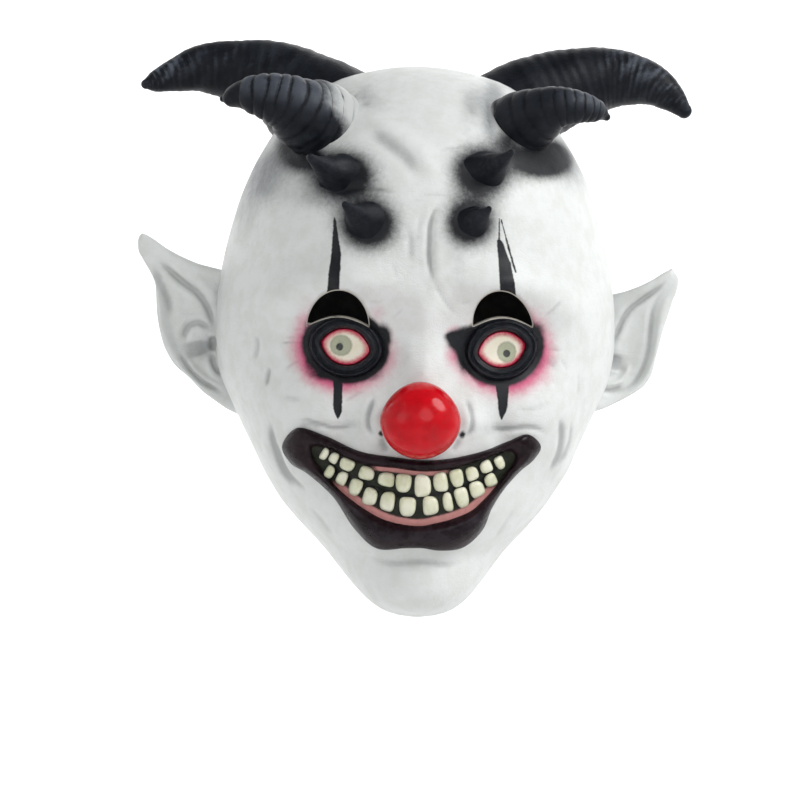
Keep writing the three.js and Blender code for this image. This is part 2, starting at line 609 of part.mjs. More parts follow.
function circleOf(centre, across, up, radius, sides) {
  return Array.from({ length: sides }, (_, k) => {
    const angle = (2 * Math.PI * k) / sides;
    return centre
      .clone()
      .addScaledVector(across, radius * Math.cos(angle))
      .addScaledVector(up, radius * Math.sin(angle));
  });
}

const BIG_HORN_SEAT = { turn: THREE.MathUtils.degToRad(99), down: 0.075 };
const SMALL_HORN_SEAT = { turn: THREE.MathUtils.degToRad(46), down: 0.118 };
const BIG_HORN_MESH = { sides: 12, sections: 13 };
const SMALL_HORN_MESH = { sides: 9, sections: 24, rings: SMALL_HORN_RINGS };

function bigHorn(rows, side) {
  const seat = skin(side * BIG_HORN_SEAT.turn, BIG_HORN_SEAT.down);
  return horn(rows, side, seat, BIG_HORN_REACH, BIG_HORN_ROOT, BIG_HORN_MESH);
}

// "spare" fattens the horn, for cutting the room that a neighbour leaves it.
function smallHorn(rows, side, spare = 0) {
  const seat = skin(side * SMALL_HORN_SEAT.turn, SMALL_HORN_SEAT.down);
  return horn(rows, side, seat, SMALL_HORN_REACH, SMALL_HORN_ROOT + spare, SMALL_HORN_MESH);
}

function spike(row) {
  const foot = onFace(row.across * HALF_WIDTH, levelOf(row.down));
  const stand = row.stand * SPIKE_STAND;
  const tip = foot.clone().add(new THREE.Vector3(row.out * stand, -stand, row.up * stand));
  const heel = foot.clone().addScaledVector(foot.clone().sub(tip).normalize(), SEAT_SINK);
  const axis = tip.clone().sub(foot).normalize();
  const outward = foot.clone().sub(new THREE.Vector3(0, 0, foot.z)).normalize();
  const across = outward.clone().cross(new THREE.Vector3(0, 0, 1)).normalize();
  const up = across.clone().cross(outward).normalize();
  const girth = [
    { along: 0.0, thick: 1.12 },
    { along: 0.3, thick: 0.88 },
    { along: 0.55, thick: 0.62 },
    { along: 0.8, thick: 0.34 },
    { along: 0.95, thick: 0.16 },
  ];
  const length = tip.distanceTo(heel);
  const loops = girth.map(({ along, thick }) =>
    circleOf(
      heel.clone().addScaledVector(axis, along * length),
      across,
      up,
      thick * row.root * SPIKE_ROOT,
      10,
    ),
  );
  return loftSolid(loops, { endTip: tip }).subtract(seatForm);
}

// A leaf-shaped ear: each slice runs from the head to the rim and back behind, hollow in front.
// The ear is thickest at the head, and its rim leans back.
const EAR_ACROSS = [
  { share: 0, hollow: 0.45, thick: 2.4 },
  { share: 0.22, hollow: 1.0, thick: 1.7 },
  { share: 0.5, hollow: 1.0, thick: 1.1 },
  { share: 0.8, hollow: 0.6, thick: 0.9 },
  { share: 1, hollow: 0.0, thick: 0.7 },
];

function ear(row) {
  const slices = EAR_SLICES.map((slice) => {
    const reach = row.reach * EAR_REACH;
    const rootX = EAR_SEAT * HALF_WIDTH + slice.root * reach;
    const rimX = EAR_SEAT * HALF_WIDTH + slice[row.rim] * reach;
    const z = levelOf(row.lobe) + slice.rise * row.height * EAR_HEIGHT;
    const front = EAR_ACROSS.map(({ share, hollow }) => {
      const depth = EAR_Y + slice.cup * EAR_CUP * hollow + EAR_SWEEP * share;
      return new THREE.Vector3(row.side * THREE.MathUtils.lerp(rootX, rimX, share), depth, z);
    });
    const behind = front.map((p, k) => {
      const thickness = EAR_ACROSS[k].thick * slice.thick * EAR_THICKNESS;
      return p.clone().add(new THREE.Vector3(0, thickness, 0));
    });
    return [...front, ...behind.reverse()];
  });
  return loftSolid(slices).subtract(seatForm).subtract(slits[row.side < 0 ? 0 : 1]);
}

function noseBall() {
  const skinFront = onFace(NOSE_X, NOSE_Z).y;
  const ball = new THREE.SphereGeometry(NOSE_RADIUS, 14, 9);
  const position = ball.getAttribute("position");
  for (let i = 0; i < position.count; i += 1) {
    const height = position.getY(i) / NOSE_RADIUS;
    const narrowing = 1 - 0.1 * Math.max(0, height);
    position.setX(i, position.getX(i) * 1.02 * narrowing);
    position.setY(i, position.getY(i) * 0.97);
  }
  ball.rotateX(Math.PI / 2);
  ball.translate(NOSE_X, skinFront - NOSE_STAND, NOSE_Z);
  return toSolid(ball).subtract(seatForm);
}

// A rounded ring that sits on the face between an outer and an inner edge.
function faceRing(stations, lift, spare = 0) {
  const profile = [
    { share: 0.0, rise: -SEAT_SINK, plain: true },
    { share: 0.0, rise: 0.12 },
    { share: 0.25, rise: 0.75 },
    { share: 0.55, rise: 1.0 },
    { share: 0.85, rise: 0.72 },
    { share: 1.0, rise: 0.2 },
    { share: 1.0, rise: -SEAT_SINK, plain: true },
  ];
  const rings = stations.map(({ outer, inner, full }) => {
    const widen = inner.clone().sub(outer).normalize().multiplyScalar(spare);
    const from = outer.clone().sub(widen);
    const to = inner.clone().add(widen);
    return profile.map(({ share, rise, plain }) => {
      const at = from.clone().lerp(to, share);
      return onFace(at.x, at.y, plain ? rise : rise * full * lift + spare);
    });
  });
  return loftSolid(rings, { around: true });
}

const LIP_STATIONS = 27;

function lipStations() {
  const place = (x, z) =>
    new THREE.Vector3(MOUTH_X + x * MOUTH_HALF_WIDTH, MOUTH_Z + z * MOUTH_HALF_HEIGHT, 0);
  const outer = new THREE.CatmullRomCurve3(
    LIPS.map((row) => place(row.outX, row.outZ)),
    true,
  );
  const inner = new THREE.CatmullRomCurve3(
    LIPS.map((row) => place(row.inX, row.inZ)),
    true,
  );
  return Array.from({ length: LIP_STATIONS }, (_, k) => {
    const t = k / LIP_STATIONS;
    const row = t * LIPS.length;
    const before = LIPS[Math.floor(row)];
    const after = LIPS[(Math.floor(row) + 1) % LIPS.length];
    const full = THREE.MathUtils.lerp(before.full, after.full, row % 1);
    return { outer: outer.getPoint(t), inner: inner.getPoint(t), full };
  });
}

// The lips and the gap round them, for trimming their neighbours.
const lipRoom = faceRing(lipStations(), LIP_LIFT, SEAT_GAP);

// The plate inside the lips, a grid from the lower to the upper inner edge of the mouth.
function gumPlate() {
  const edge = lipStations().map(({ outer, inner }) => {
    const inward = inner.clone().sub(outer).normalize().multiplyScalar(GUM_CLEARANCE);
    return inner.clone().add(inward);
  });
  const half = LIP_STATIONS / 2;
  const rings = [];
  for (let k = 1; k < half; k += 1) {
    const top = edge[k];
    const bottom = edge[LIP_STATIONS - k];
    const heights = [0, 1 / 3, 2 / 3, 1];
    const at = heights.map((share) => bottom.clone().lerp(top, share));
    const front = at.map((p) => onFace(p.x, p.y, GUM_LIFT));
    const behind = at.map((p) => onFace(p.x, p.y, -SEAT_SINK));
    rings.push([...front, ...behind.reverse()]);
  }
  return loftSolid(rings).subtract(seatForm).subtract(lipRoom);
}

function tooth(row) {
  const centre = new THREE.Vector2(
    MOUTH_X + row.x * MOUTH_HALF_WIDTH,
    MOUTH_Z + row.z * MOUTH_HALF_HEIGHT,
  );
  const lean = TOOTH_LEAN * row.x * MOUTH_HALF_WIDTH;
  const layers = [
    { lift: 0, size: 1 },
    { lift: 0.6, size: 0.96 },
    { lift: 1, size: 0.6 },
  ];
  const sides = 8;
  const widen = 1 / Math.cos(Math.PI / sides); // flats, not corners, at the tooth's full size
  const rings = layers.map(({ lift, size }) =>
    Array.from({ length: sides }, (_, k) => {
      const angle = (2 * Math.PI * (k + 0.5)) / sides;
      const corner = new THREE.Vector2(
        (widen * size * row.wide * TOOTH_WIDTH * Math.cos(angle)) / 2,
        (widen * size * row.high * TOOTH_HEIGHT * Math.sin(angle)) / 2,
      );
      corner.rotateAround(new THREE.Vector2(), lean).add(centre);
      return onFace(corner.x, corner.y, GUM_LIFT + SEAT_GAP + lift * TOOTH_LIFT);
    }),
  );
  return loftSolid(rings).subtract(lipRoom);
}

// The almond-shaped edge round an eye; point is how pointed its two corners are.
function almond(eye, width, height, angle, point) {
  const across = (width / 2) * Math.cos(angle);
  const narrowing = 1 - point * Math.abs(Math.cos(angle)) ** 3;
  const up = (height / 2) * Math.sin(angle) * narrowing;
  const corner = new THREE.Vector2(across, up).rotateAround(new THREE.Vector2(), -eye.lean);
  return new THREE.Vector3(eye.x + corner.x, EYE_Z + corner.y, 0);
}

const LID_STATIONS = 16;

function lidStations(eye) {
  return Array.from({ length: LID_STATIONS }, (_, k) => {
    const angle = (2 * Math.PI * k) / LID_STATIONS;
    return {
      outer: almond(eye, LID_WIDTH, LID_HEIGHT, angle, 0.1),
      inner: almond(eye, EYE_OPENING_WIDTH, EYE_OPENING_HEIGHT, angle, 0.35),
      full: 1,
    };
  });
}

function eyeRim(eye, index) {
  return faceRing(lidStations(eye), LID_LIFT).subtract(seatForm).subtract(slots[index]);
}

function eyeball(eye) {
  const sides = 12;
  const domes = [
    { size: 1, lift: -SEAT_SINK },
    { size: 1, lift: 0.3 * EYEBALL_LIFT },
    { size: 0.66, lift: 0.85 * EYEBALL_LIFT },
  ];
  const width = EYE_OPENING_WIDTH - 2 * EYE_CLEARANCE;
  const height = EYE_OPENING_HEIGHT - 2 * EYE_CLEARANCE;
  const rings = domes.map(({ size, lift }) =>
    Array.from({ length: sides }, (_, k) => {
      const edge = almond(eye, size * width, size * height, (2 * Math.PI * k) / sides, 0.35);
      return onFace(edge.x, edge.y, lift);
    }),
  );
  const front = onFace(eye.x, EYE_Z, EYEBALL_LIFT);
  return loftSolid(rings, { endTip: front }).subtract(seatForm);
}

const latex = new THREE.MeshStandardMaterial({ color: LATEX_WHITE, roughness: 0.55 });
const black = new THREE.MeshStandardMaterial({ color: HORN_BLACK, roughness: 0.5 });
const red = new THREE.MeshStandardMaterial({ color: NOSE_RED, roughness: 0.22 });
const dark = new THREE.MeshStandardMaterial({ color: LIP_DARK, roughness: 0.3 });
const grime = new THREE.MeshStandardMaterial({ color: GUM_GREEN, roughness: 0.5 });
const cream = new THREE.MeshStandardMaterial({ color: TOOTH_CREAM, roughness: 0.4 });
const sclera = new THREE.MeshStandardMaterial({ color: EYE_WHITE, roughness: 0.25 });

const mask = new THREE.Group();
function place(name, solid, material) {
  const piece = new THREE.Mesh(toGeometry(solid), material);
  piece.name = name;
  mask.add(piece);
}

const { face, crown, nape } = hoodSkins();
place("head_shell", face, latex);
place("crown_shell", crown, latex);
place("nape_shell", nape, latex);
for (const row of EARS) {
  place(`ear_${row.name}`, ear(row), latex);
}

const hornSides = [
  { name: "left", side: -1, big: BIG_HORN_LEFT, small: SMALL_HORN_LEFT },
  { name: "right", side: 1, big: BIG_HORN_RIGHT, small: SMALL_HORN_RIGHT },
];
for (const { name, side, big, small } of hornSides) {
  const room = smallHorn(small, side, SEAT_GAP);
  place(`big_horn_${name}`, bigHorn(big, side).subtract(room), black);
  place(`small_horn_${name}`, smallHorn(small, side), black);
}
for (const row of SPIKES) {
  place(`spike_${row.name}`, spike(row), black);
}

place("nose_ball", noseBall(), red);
EYES.forEach((eye, index) => {
  place(`eye_rim_${eye.name}`, eyeRim(eye, index), black);
  place(`eyeball_${eye.name}`, eyeball(eye), sclera);
});
place("lips", faceRing(lipStations(), LIP_LIFT).subtract(seatForm), dark);
place("gums", gumPlate(), grime);
const toothRows = [
  { name: "upper", rows: UPPER_TEETH },
  { name: "lower", rows: LOWER_TEETH },
];
for (const { name, rows } of toothRows) {
  rows.forEach((row, k) => {
    place(`tooth_${name}_${String(k + 1).padStart(2, "0")}`, tooth(row), cream);
  });
}

export default mask;
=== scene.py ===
import math

import bmesh
import bpy
import numpy as np
from mathutils import Matrix, Vector


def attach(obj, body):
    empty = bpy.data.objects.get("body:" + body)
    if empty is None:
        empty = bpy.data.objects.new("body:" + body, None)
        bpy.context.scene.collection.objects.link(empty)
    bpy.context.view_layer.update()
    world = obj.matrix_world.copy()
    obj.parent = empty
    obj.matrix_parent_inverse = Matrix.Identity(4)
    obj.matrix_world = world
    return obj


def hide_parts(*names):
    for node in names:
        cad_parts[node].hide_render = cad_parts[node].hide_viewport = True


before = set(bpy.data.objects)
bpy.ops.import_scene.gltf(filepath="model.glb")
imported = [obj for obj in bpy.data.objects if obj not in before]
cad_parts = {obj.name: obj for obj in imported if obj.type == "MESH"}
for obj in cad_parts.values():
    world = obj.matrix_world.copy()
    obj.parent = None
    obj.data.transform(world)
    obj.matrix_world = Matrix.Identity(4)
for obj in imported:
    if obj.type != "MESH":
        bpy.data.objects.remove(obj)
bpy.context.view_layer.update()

bl_info = {"name": "Horned clown mask", "version": (1, 0, 0), "blender": (4, 5, 0),
    "location": "3D View > Sidebar > Clown Mask",
    "description": "Builds the pieces, finishes and studio of a horned latex clown mask",
    "category": "Object"}

MM = 0.001

# --- Tables ---

# Level sections of the hood from crown to chin: down (share of its height), then shares of the
# half width, of the face's depth (front and mid) and of the nape's depth, and the power of the
# section's round.
SECTIONS = ((0.0, 0.0, 0.0, 0.0, 0.0, 2.0), (0.012, 0.26, 0.27, 0.0, 0.27, 2.0),
    (0.03, 0.42, 0.42, 0.0, 0.42, 2.1), (0.07, 0.585, 0.6, 0.0, 0.61, 2.15),
    (0.135, 0.735, 0.77, 0.0, 0.79, 2.2), (0.21, 0.845, 0.88, 0.0, 0.9, 2.25),
    (0.28, 0.913, 0.94, 0.0, 0.96, 2.3), (0.38, 0.975, 0.98, 0.0, 1.0, 2.3),
    (0.45, 0.997, 0.97, 0.0, 0.99, 2.3), (0.507, 1.0, 0.96, 0.0, 0.965, 2.25),
    (0.56, 0.983, 0.962, -0.01, 0.93, 2.2), (0.647, 0.885, 0.975, -0.04, 0.855, 2.2),
    (0.709, 0.802, 0.985, -0.08, 0.8, 2.15), (0.801, 0.663, 0.98, -0.16, 0.71, 2.1),
    (0.834, 0.587, 0.965, -0.2, 0.64, 2.1), (0.89, 0.4415, 0.93, -0.3, 0.44, 2.1),
    (0.947, 0.311, 0.91, -0.44, 0.04, 2.1), (0.974, 0.231, 0.87, -0.54, -0.22, 2.1),
    (0.991, 0.15, 0.79, -0.6, -0.42, 2.0), (1.0, 0.0, 0.64, -0.64, -0.605, 2.0))

# Swells and hollows of the face, on both sides of the middle: the feature that each belongs to,
# out (share of that feature's half breadth), then up, wide, tall and lift (shares of the face's
# depth).
RELIEF = (("crown", 0.0, -0.66, 0.32, 0.3, 0.04), ("crown", 0.84, -1.0, 0.13, 0.24, -0.03),
    ("eyes", 0.96, 0.31, 0.21, 0.085, 0.07), ("eyes", 1.76, 0.22, 0.14, 0.1, 0.045),
    ("eyes", 0.0, 0.19, 0.09, 0.1, 0.035), ("eyes", 0.99, 0.0, 0.2, 0.15, -0.075),
    ("nose", 0.0, 0.235, 0.1, 0.17, 0.075), ("nose", 0.0, -0.02, 0.17, 0.14, 0.09),
    ("nose", 1.15, 0.005, 0.065, 0.075, 0.055), ("nose", 3.06, 0.045, 0.2, 0.17, 0.06),
    ("nose", 2.02, -0.05, 0.05, 0.09, -0.03), ("mouth", 1.09, 0.13, 0.1, 0.12, 0.03),
    ("mouth", 0.0, -0.03, 0.4, 0.2, 0.045), ("mouth", 0.0, 0.01, 0.32, 0.13, -0.025),
    ("mouth", 0.0, -0.315, 0.22, 0.035, -0.025), ("chin", 0.0, 0.15, 0.2, 0.12, 0.05))

# The hood's open edge seen from the side: fore (share of the face's depth) and down.
RIM = ((1.4, 1.06), (0.76, 1.015), (0.59, 0.988), (0.38, 0.942), (0.1, 0.884), (-0.2, 0.842),
    (-0.6, 0.812), (-1.4, 0.79))

# Creases of the skin, in millimetres: width, depth, then the points (x, z) that each runs
# through as the face is seen from the front. A depth below nought is a raised fold.
CREASES = (
    # forehead
    (1.5, 0.8, ((-50, -70), (-44, -68), (-37, -66.5), (-30, -66.5), (-22, -67.5), (-12, -69))),
    (1.2, 0.35, ((-12, -69), (4, -69.5), (22, -70), (38, -70))),
    (1.4, 0.95, ((8.5, -72), (4.5, -77), (2, -84), (1.5, -93), (1.5, -101), (3, -109), (6, -118))),
    (1.8, -0.6, ((11, -76), (7, -82), (6, -92), (6.5, -103), (8.5, -112))),
    (2.0, 0.5, ((-8.5, -85), (-7.6, -95), (-7, -105))),
    (1.6, 0.3, ((-3, -78), (-4, -88), (-4.5, -97))),
    (1.4, 0.3, ((-18, -103), (-15.5, -109), (-14.5, -113))),
    (1.2, 0.45, ((4, -47), (10, -45.5), (18, -44.2), (25, -41.5))),
    (4.5, -1.0, ((-36, -25), (-24, -33), (-12, -41), (-3, -49), (3, -59), (1, -68))),
    (4.0, 0.7, ((-31, -34), (-19, -43), (-9, -52), (-4, -62))),
    (3.0, 0.5, ((-33, -12), (-31, -20), (-26, -26))),
    (3.2, 0.5, ((18, -16), (23, -22), (27, -30))),
    (1.1, 0.3, ((-8, -71.5), (-4, -72.5), (0, -71.5))),
    (1.0, 0.25, ((-14, -8), (-11, -12), (-12, -16))),
    # ring folds at the small horns' roots
    (1.3, 1.1, ((-39, -11), (-36.5, -16), (-37.5, -23), (-41.5, -30), (-47.5, -37), (-56, -44))),
    (1.2, 0.9, ((-45, -10.5), (-42, -15), (-42.5, -22), (-46, -28), (-52, -34))),
    (1.3, 0.5, ((34, -12), (33, -20), (33, -30), (36, -40))),
    # round the eyes
    (1.0, 0.6, ((-74, -146), (-66, -145), (-59, -144.5))),
    (0.9, 0.5, ((-71, -142.5), (-65, -142.3), (-59, -141.5))),
    (0.9, 0.5, ((-70, -149), (-64, -148.5), (-58, -148))),
    (0.9, 0.45, ((-67, -139.5), (-60.5, -138))),
    (1.1, 0.5, ((-71, -160), (-66, -156), (-61, -153))),
    (1.2, 0.35, ((-66, -156.5), (-60, -159.5), (-55, -163))),
    (1.2, 0.5, ((-28, -168), (-33, -170.5), (-38, -173.5), (-41, -176))),
    (1.1, 0.4, ((-20, -124.2), (-25, -124.4), (-30, -123.5))),
    (1.1, 0.4, ((-10, -126), (-13.5, -129.5), (-17, -133))),
    (1.3, 0.5, ((4, -112), (8, -120), (12.5, -126), (18, -131))),
    (1.2, 0.4, ((17, -124.5), (25, -122.5))), (1.1, 0.5, ((60, -131), (66, -126), (72, -120))),
    (1.1, 0.4, ((61, -152), (66, -154), (69, -158))),
    (1.2, 0.5, ((60, -146.5), (67, -146.5), (74, -147))),
    (1.0, 0.35, ((63, -159), (67, -162), (69, -166))),
    (1.1, 0.4, ((71, -150), (74, -155), (76, -158))),
    (1.4, 0.8, ((14, -143), (19, -151), (24, -158.5), (30, -166), (34, -169))),
    # cheeks
    (1.7, 0.6, ((-85, -140), (-84, -148), (-86, -156))),
    (1.4, 0.8, ((-77.5, -157), (-78.5, -163), (-79.5, -169))),
    (1.9, 1.1, ((-77, -183), (-76.5, -191), (-74.5, -199), (-72, -206), (-68, -214), (-62, -222))),
    (1.4, 0.7, ((-72.5, -196), (-71.5, -204), (-68, -211), (-62, -217.5), (-55, -223))),
    (1.3, 0.8, ((-66, -185.5), (-59, -184.3), (-52, -186), (-45, -188), (-37, -187), (-30, -186))),
    (1.2, 0.5, ((-64, -188), (-57, -187), (-50, -188.5))),
    (2.2, 0.45, ((-72, -172), (-65, -174), (-60, -173.5))),
    (1.5, 0.9, ((32, -184), (37, -186.8), (45, -186.8), (55, -186), (61.5, -187.5), (65.5, -192))),
    (1.1, 0.4, ((45, -176.5), (52, -177.2), (60, -176.5), (66, -176.3))),
    (1.1, 0.35, ((58, -174), (66, -174))),
    (2.0, 1.0, ((70, -178), (72, -184), (73, -191), (72.5, -198), (70, -205), (66, -212))),
    (1.6, 0.7, ((77.5, -180), (78.5, -187), (78, -194), (75.5, -201), (71, -208))),
    (1.3, 0.4, ((81, -157), (82, -164), (81.5, -171))),
    # nose
    (1.5, 1.0, ((-23.5, -170), (-26.5, -176), (-28.2, -183), (-27, -188.5), (-22.5, -191.5))),
    (1.5, 1.0, ((20.5, -170), (23.5, -176), (25, -183), (24, -188.5), (19.5, -191.5))),
    (2.0, 0.8, ((-21, -191), (-20, -196), (-17, -200))),
    (1.8, 0.7, ((18.5, -191), (17.5, -195), (14.5, -199))),
    (2.6, -0.7, ((-8, -140), (-7, -150), (-8, -160))),
    # chin and jaw
    (2.2, 0.6, ((-30, -253), (-15, -256), (0, -255), (15, -256), (28, -253))),
    (1.6, 0.4, ((-58, -228), (-50, -236), (-42, -246))),
    (1.6, 0.4, ((50, -226), (44, -236), (38, -246))),
)

# Creases behind the face, on the side and the back of the head: turn in degrees, down.
BACK_FOLDS = ((3.0, 1.2, ((150, 0.62), (180, 0.635), (210, 0.62))),
    (3.0, 1.1, ((146, 0.70), (180, 0.72), (214, 0.70))),
    (2.6, 0.9, ((156, 0.54), (180, 0.55), (204, 0.54))),
    (2.4, 0.8, ((120, 0.72), (132, 0.77), (140, 0.80))),
    (2.4, 0.8, ((240, 0.72), (228, 0.77), (220, 0.80))),
    (2.2, 0.7, ((118, 0.40), (128, 0.45), (134, 0.52))),
    (2.2, 0.7, ((242, 0.40), (232, 0.45), (226, 0.52))),
    (3.5, 0.8, ((120, 0.17), (135, 0.22), (150, 0.24))),
    (3.5, 0.8, ((240, 0.17), (225, 0.22), (210, 0.24))))

# Soft spots on the skin: x, z, wide and tall in millimetres, strength. The grey is airbrushed
# paint round the horns and spikes and on the temples, with painted shade in the creases and under
# the nose.
GREY_AND_SHADE_SPOTS = ((-84, -56, 14, 17, 0.6), (-70, -51, 13, 8, 0.55), (-92, -75, 9, 18, 0.3),
    (-30, -17, 6, 9, 0.32), (-22, -22, 6, 6, 0.2), (-48, -61, 17, 14, 0.5),
    (-32, -84, 16, 13, 0.45), (30, -57, 15, 13, 0.5), (24, -86, 13, 12, 0.45),
    (26, -18, 8, 10, 0.36), (21, -31, 5, 10, 0.2), (38, -14, 6, 12, 0.55), (33, -30, 5, 14, 0.5),
    (80, -52, 14, 13, 0.42), (64, -47, 14, 6, 0.5), (-58, -72, 12, 6, 0.25),
    (-20, -196, 6, 6, 0.25), (-40, -186, 12, 4, 0.22), (40, -187, 14, 3.5, 0.3),
    (66, -153, 6, 4, 0.3), (-82, -66, 8, 7, 0.3), (17, -104, 4, 12, 0.2),
    (3, -100, 3.4, 18, 0.22), (-7.5, -97, 3, 12, 0.16), (-76, -196, 4, 16, 0.14),
    (73, -192, 4, 14, 0.16))
# The same behind the face, painted shade over the nape and in its folds, behind the ears and
# between the horns: turn in degrees, depth below the crown in millimetres.
BACK_SHADE_SPOTS = ((180, 20, 16, 9, 0.3), (158, 165, 9, 22, 0.3), (202, 168, 9, 22, 0.3),
    (180, 186, 34, 7, 0.42), (180, 208, 34, 6, 0.42), (126, 120, 7, 26, 0.26),
    (234, 124, 7, 26, 0.26), (122, 205, 8, 16, 0.3), (238, 205, 8, 16, 0.3),
    (150, 70, 12, 16, 0.16), (212, 84, 12, 18, 0.16))
PINK_SPOTS = ((-61, -146, 5.5, 10, 0.85), (-57, -158, 6, 7, 0.8), (-48, -165, 11, 4.5, 0.6),
    (-34, -164, 8, 4.5, 0.5), (-61, -134, 5, 6, 0.42), (-58, -124, 6, 6, 0.22),
    (-24, -130, 6, 7, 0.35), (-30, -118, 10, 6, 0.12), (31, -163.5, 5, 4, 1.0),
    (26, -158, 4, 5, 0.5), (50, -161.5, 9, 4.5, 0.72), (62, -160, 7, 6, 0.42),
    (52, -170, 10, 7, 0.2), (61, -137, 5, 7, 0.5), (64, -147, 4, 5, 0.3), (16, -150, 6, 8, 0.7),
    (15, -138, 5, 4, 0.45), (24, -128, 8, 6, 0.16), (60, -126, 7, 7, 0.2))
# Black paint round the lids and spikes, and painted shadow under the small horns and in the
# nostrils.
BLACK_AND_SHADOW_SPOTS = ((-42, -60, 16, 13, 1.0), (-29, -85, 14.5, 13, 1.0), (28, -57, 15, 13.5, 1.0),
    (22, -83, 12.5, 12, 1.0), (17, -142.5, 5, 4.5, 0.95), (21, -147.5, 4.5, 8, 0.9),
    (-20, -142, 3.5, 6, 0.7), (-62, -50, 10, 7, 0.9), (-70, -42, 8, 9, 0.6),
    (58, -50, 15, 9, 1.0), (70, -46, 10, 9, 0.85), (42, -40, 8, 9, 0.5),
    (-58.5, -141, 2.6, 8, 0.6), (-57, -153, 3, 7, 0.7), (-24, -141, 5, 5, 0.75),
    (-20.5, -146, 3, 7, 0.55), (-25, -157, 5, 5, 0.6), (-36, -162, 10, 2.4, 0.8),
    (-50, -161, 6, 3, 0.75), (59, -143, 3.4, 5, 0.9), (58, -136, 4, 4, 0.55),
    (55, -152, 6, 5, 0.85), (48, -158.5, 8, 3, 0.8), (33, -160, 7, 2.6, 0.85),
    (21, -151, 3, 7, 0.8), (19, -143, 5, 3.6, 0.95), (14, -140.5, 3.4, 1.8, 0.8),
    (25, -137, 6, 2.2, 0.7), (-20.8, -190, 1.5, 1.5, 1.0), (19.8, -190, 1.5, 1.7, 0.95))

# Painted stripes on the skin, in millimetres: top and bottom height, the middle's x there, the
# half width there, and how the width grows on the way down.
STRIPES = ((-81.5, -100, -46, -45, 0.1, 2.5, 0.75), (-99.5, -122, -45, -46.6, 2.5, 3.1, 1.0),
    (-158, -176, -42.9, -42.9, 2.7, 2.2, 1.0), (-175.5, -183.5, -42.9, -42.7, 2.2, 0.3, 2.6),
    (-91.5, -103, 37.2, 40.0, 0.9, 3.0, 0.6), (-102.5, -124, 40.0, 42.4, 3.0, 4.6, 0.9),
    (-158, -173, 40.0, 40.7, 5.0, 2.5, 0.8), (-172.5, -182.5, 40.7, 40.2, 2.5, 0.3, 2.4),
    (-80.5, -96, 37.3, 37.2, 0.35, 0.55, 1.0), (-81, -108, 38.2, 45.8, 0.3, 0.45, 1.0))

# Each eye: name, side, place (share of the half spacing), lean of the lids, the slot's place
# (shares of its width and of the lids' height), and where its dome peaks.
EYES = (("left", -1, 0.99, 0.17, 0.125, 0.316, 0.5),
    ("right", 1, 1.01, -0.19, 0.0125, 0.348, 0.42))
# The painted iris and pupil: x, z, half width, half height in millimetres.
IRISES = {"left": ((-41.6, -146.2, 5.5, 5.3), (-42.3, -146.9, 1.8, 2.0)),
    "right": ((42.6, -148.1, 4.9, 5.3), (42.6, -148.9, 1.85, 1.9))}

# The lips' outer and inner edge clockwise from the left corner (x and z as shares of the
# mouth's half sizes), and how full the lip is.
LIPS = ((-1.0, 0.65, -0.765, 0.53, 0.75), (-0.89, 0.98, -0.765, 0.66, 0.75),
    (-0.68, 0.87, -0.65, 0.64, 0.65), (-0.41, 0.62, -0.41, 0.41, 0.6),
    (-0.14, 0.535, -0.14, 0.345, 0.65), (0.065, 0.495, 0.06, 0.3, 0.7),
    (0.27, 0.525, 0.265, 0.335, 0.65), (0.55, 0.665, 0.5, 0.48, 0.6),
    (0.73, 0.82, 0.64, 0.59, 0.65), (0.89, 0.94, 0.75, 0.64, 0.75),
    (1.0, 0.73, 0.79, 0.575, 0.75), (0.95, 0.51, 0.78, 0.47, 0.75), (0.835, 0.3, 0.72, 0.3, 0.7),
    (0.7, -0.03, 0.63, 0.035, 0.75), (0.615, -0.33, 0.54, -0.18, 0.85),
    (0.55, -0.69, 0.45, -0.35, 1.0), (0.4, -0.99, 0.3, -0.49, 1.0),
    (0.215, -1.04, 0.19, -0.555, 1.0), (0.08, -1.0, 0.075, -0.61, 0.95),
    (-0.045, -1.005, -0.045, -0.6, 0.95), (-0.26, -1.03, -0.2, -0.53, 1.0),
    (-0.43, -0.72, -0.34, -0.385, 1.0), (-0.605, -0.17, -0.53, -0.09, 0.8),
    (-0.815, 0.22, -0.66, 0.2, 0.75), (-0.925, 0.355, -0.73, 0.385, 0.75))

# The teeth from left to right: x and z as shares of the mouth's half sizes, wide and high as
# shares of the largest tooth.
UPPER_TEETH = ((-0.676, 0.555, 0.45, 0.56), (-0.603, 0.49, 0.55, 0.5), (-0.503, 0.39, 0.9, 0.54),
    (-0.356, 0.25, 0.92, 0.59), (-0.203, 0.155, 0.98, 0.62), (-0.075, 0.11, 0.95, 0.82),
    (0.07, 0.065, 1.0, 1.0), (0.21, 0.128, 0.88, 0.86), (0.333, 0.205, 0.81, 0.8),
    (0.45, 0.272, 0.77, 0.62), (0.562, 0.392, 0.76, 0.56), (0.667, 0.465, 0.6, 0.6))
LOWER_TEETH = ((-0.636, 0.25, 0.55, 0.6), (-0.539, 0.15, 0.64, 0.62), (-0.436, 0.015, 0.76, 0.76),
    (-0.327, -0.14, 0.85, 0.78), (-0.192, -0.213, 0.87, 0.86), (-0.041, -0.285, 0.99, 0.86),
    (0.133, -0.27, 0.95, 0.84), (0.267, -0.205, 0.6, 0.84), (0.374, -0.12, 0.83, 0.9),
    (0.491, 0.01, 0.9, 0.72), (0.6, 0.165, 0.76, 0.58))

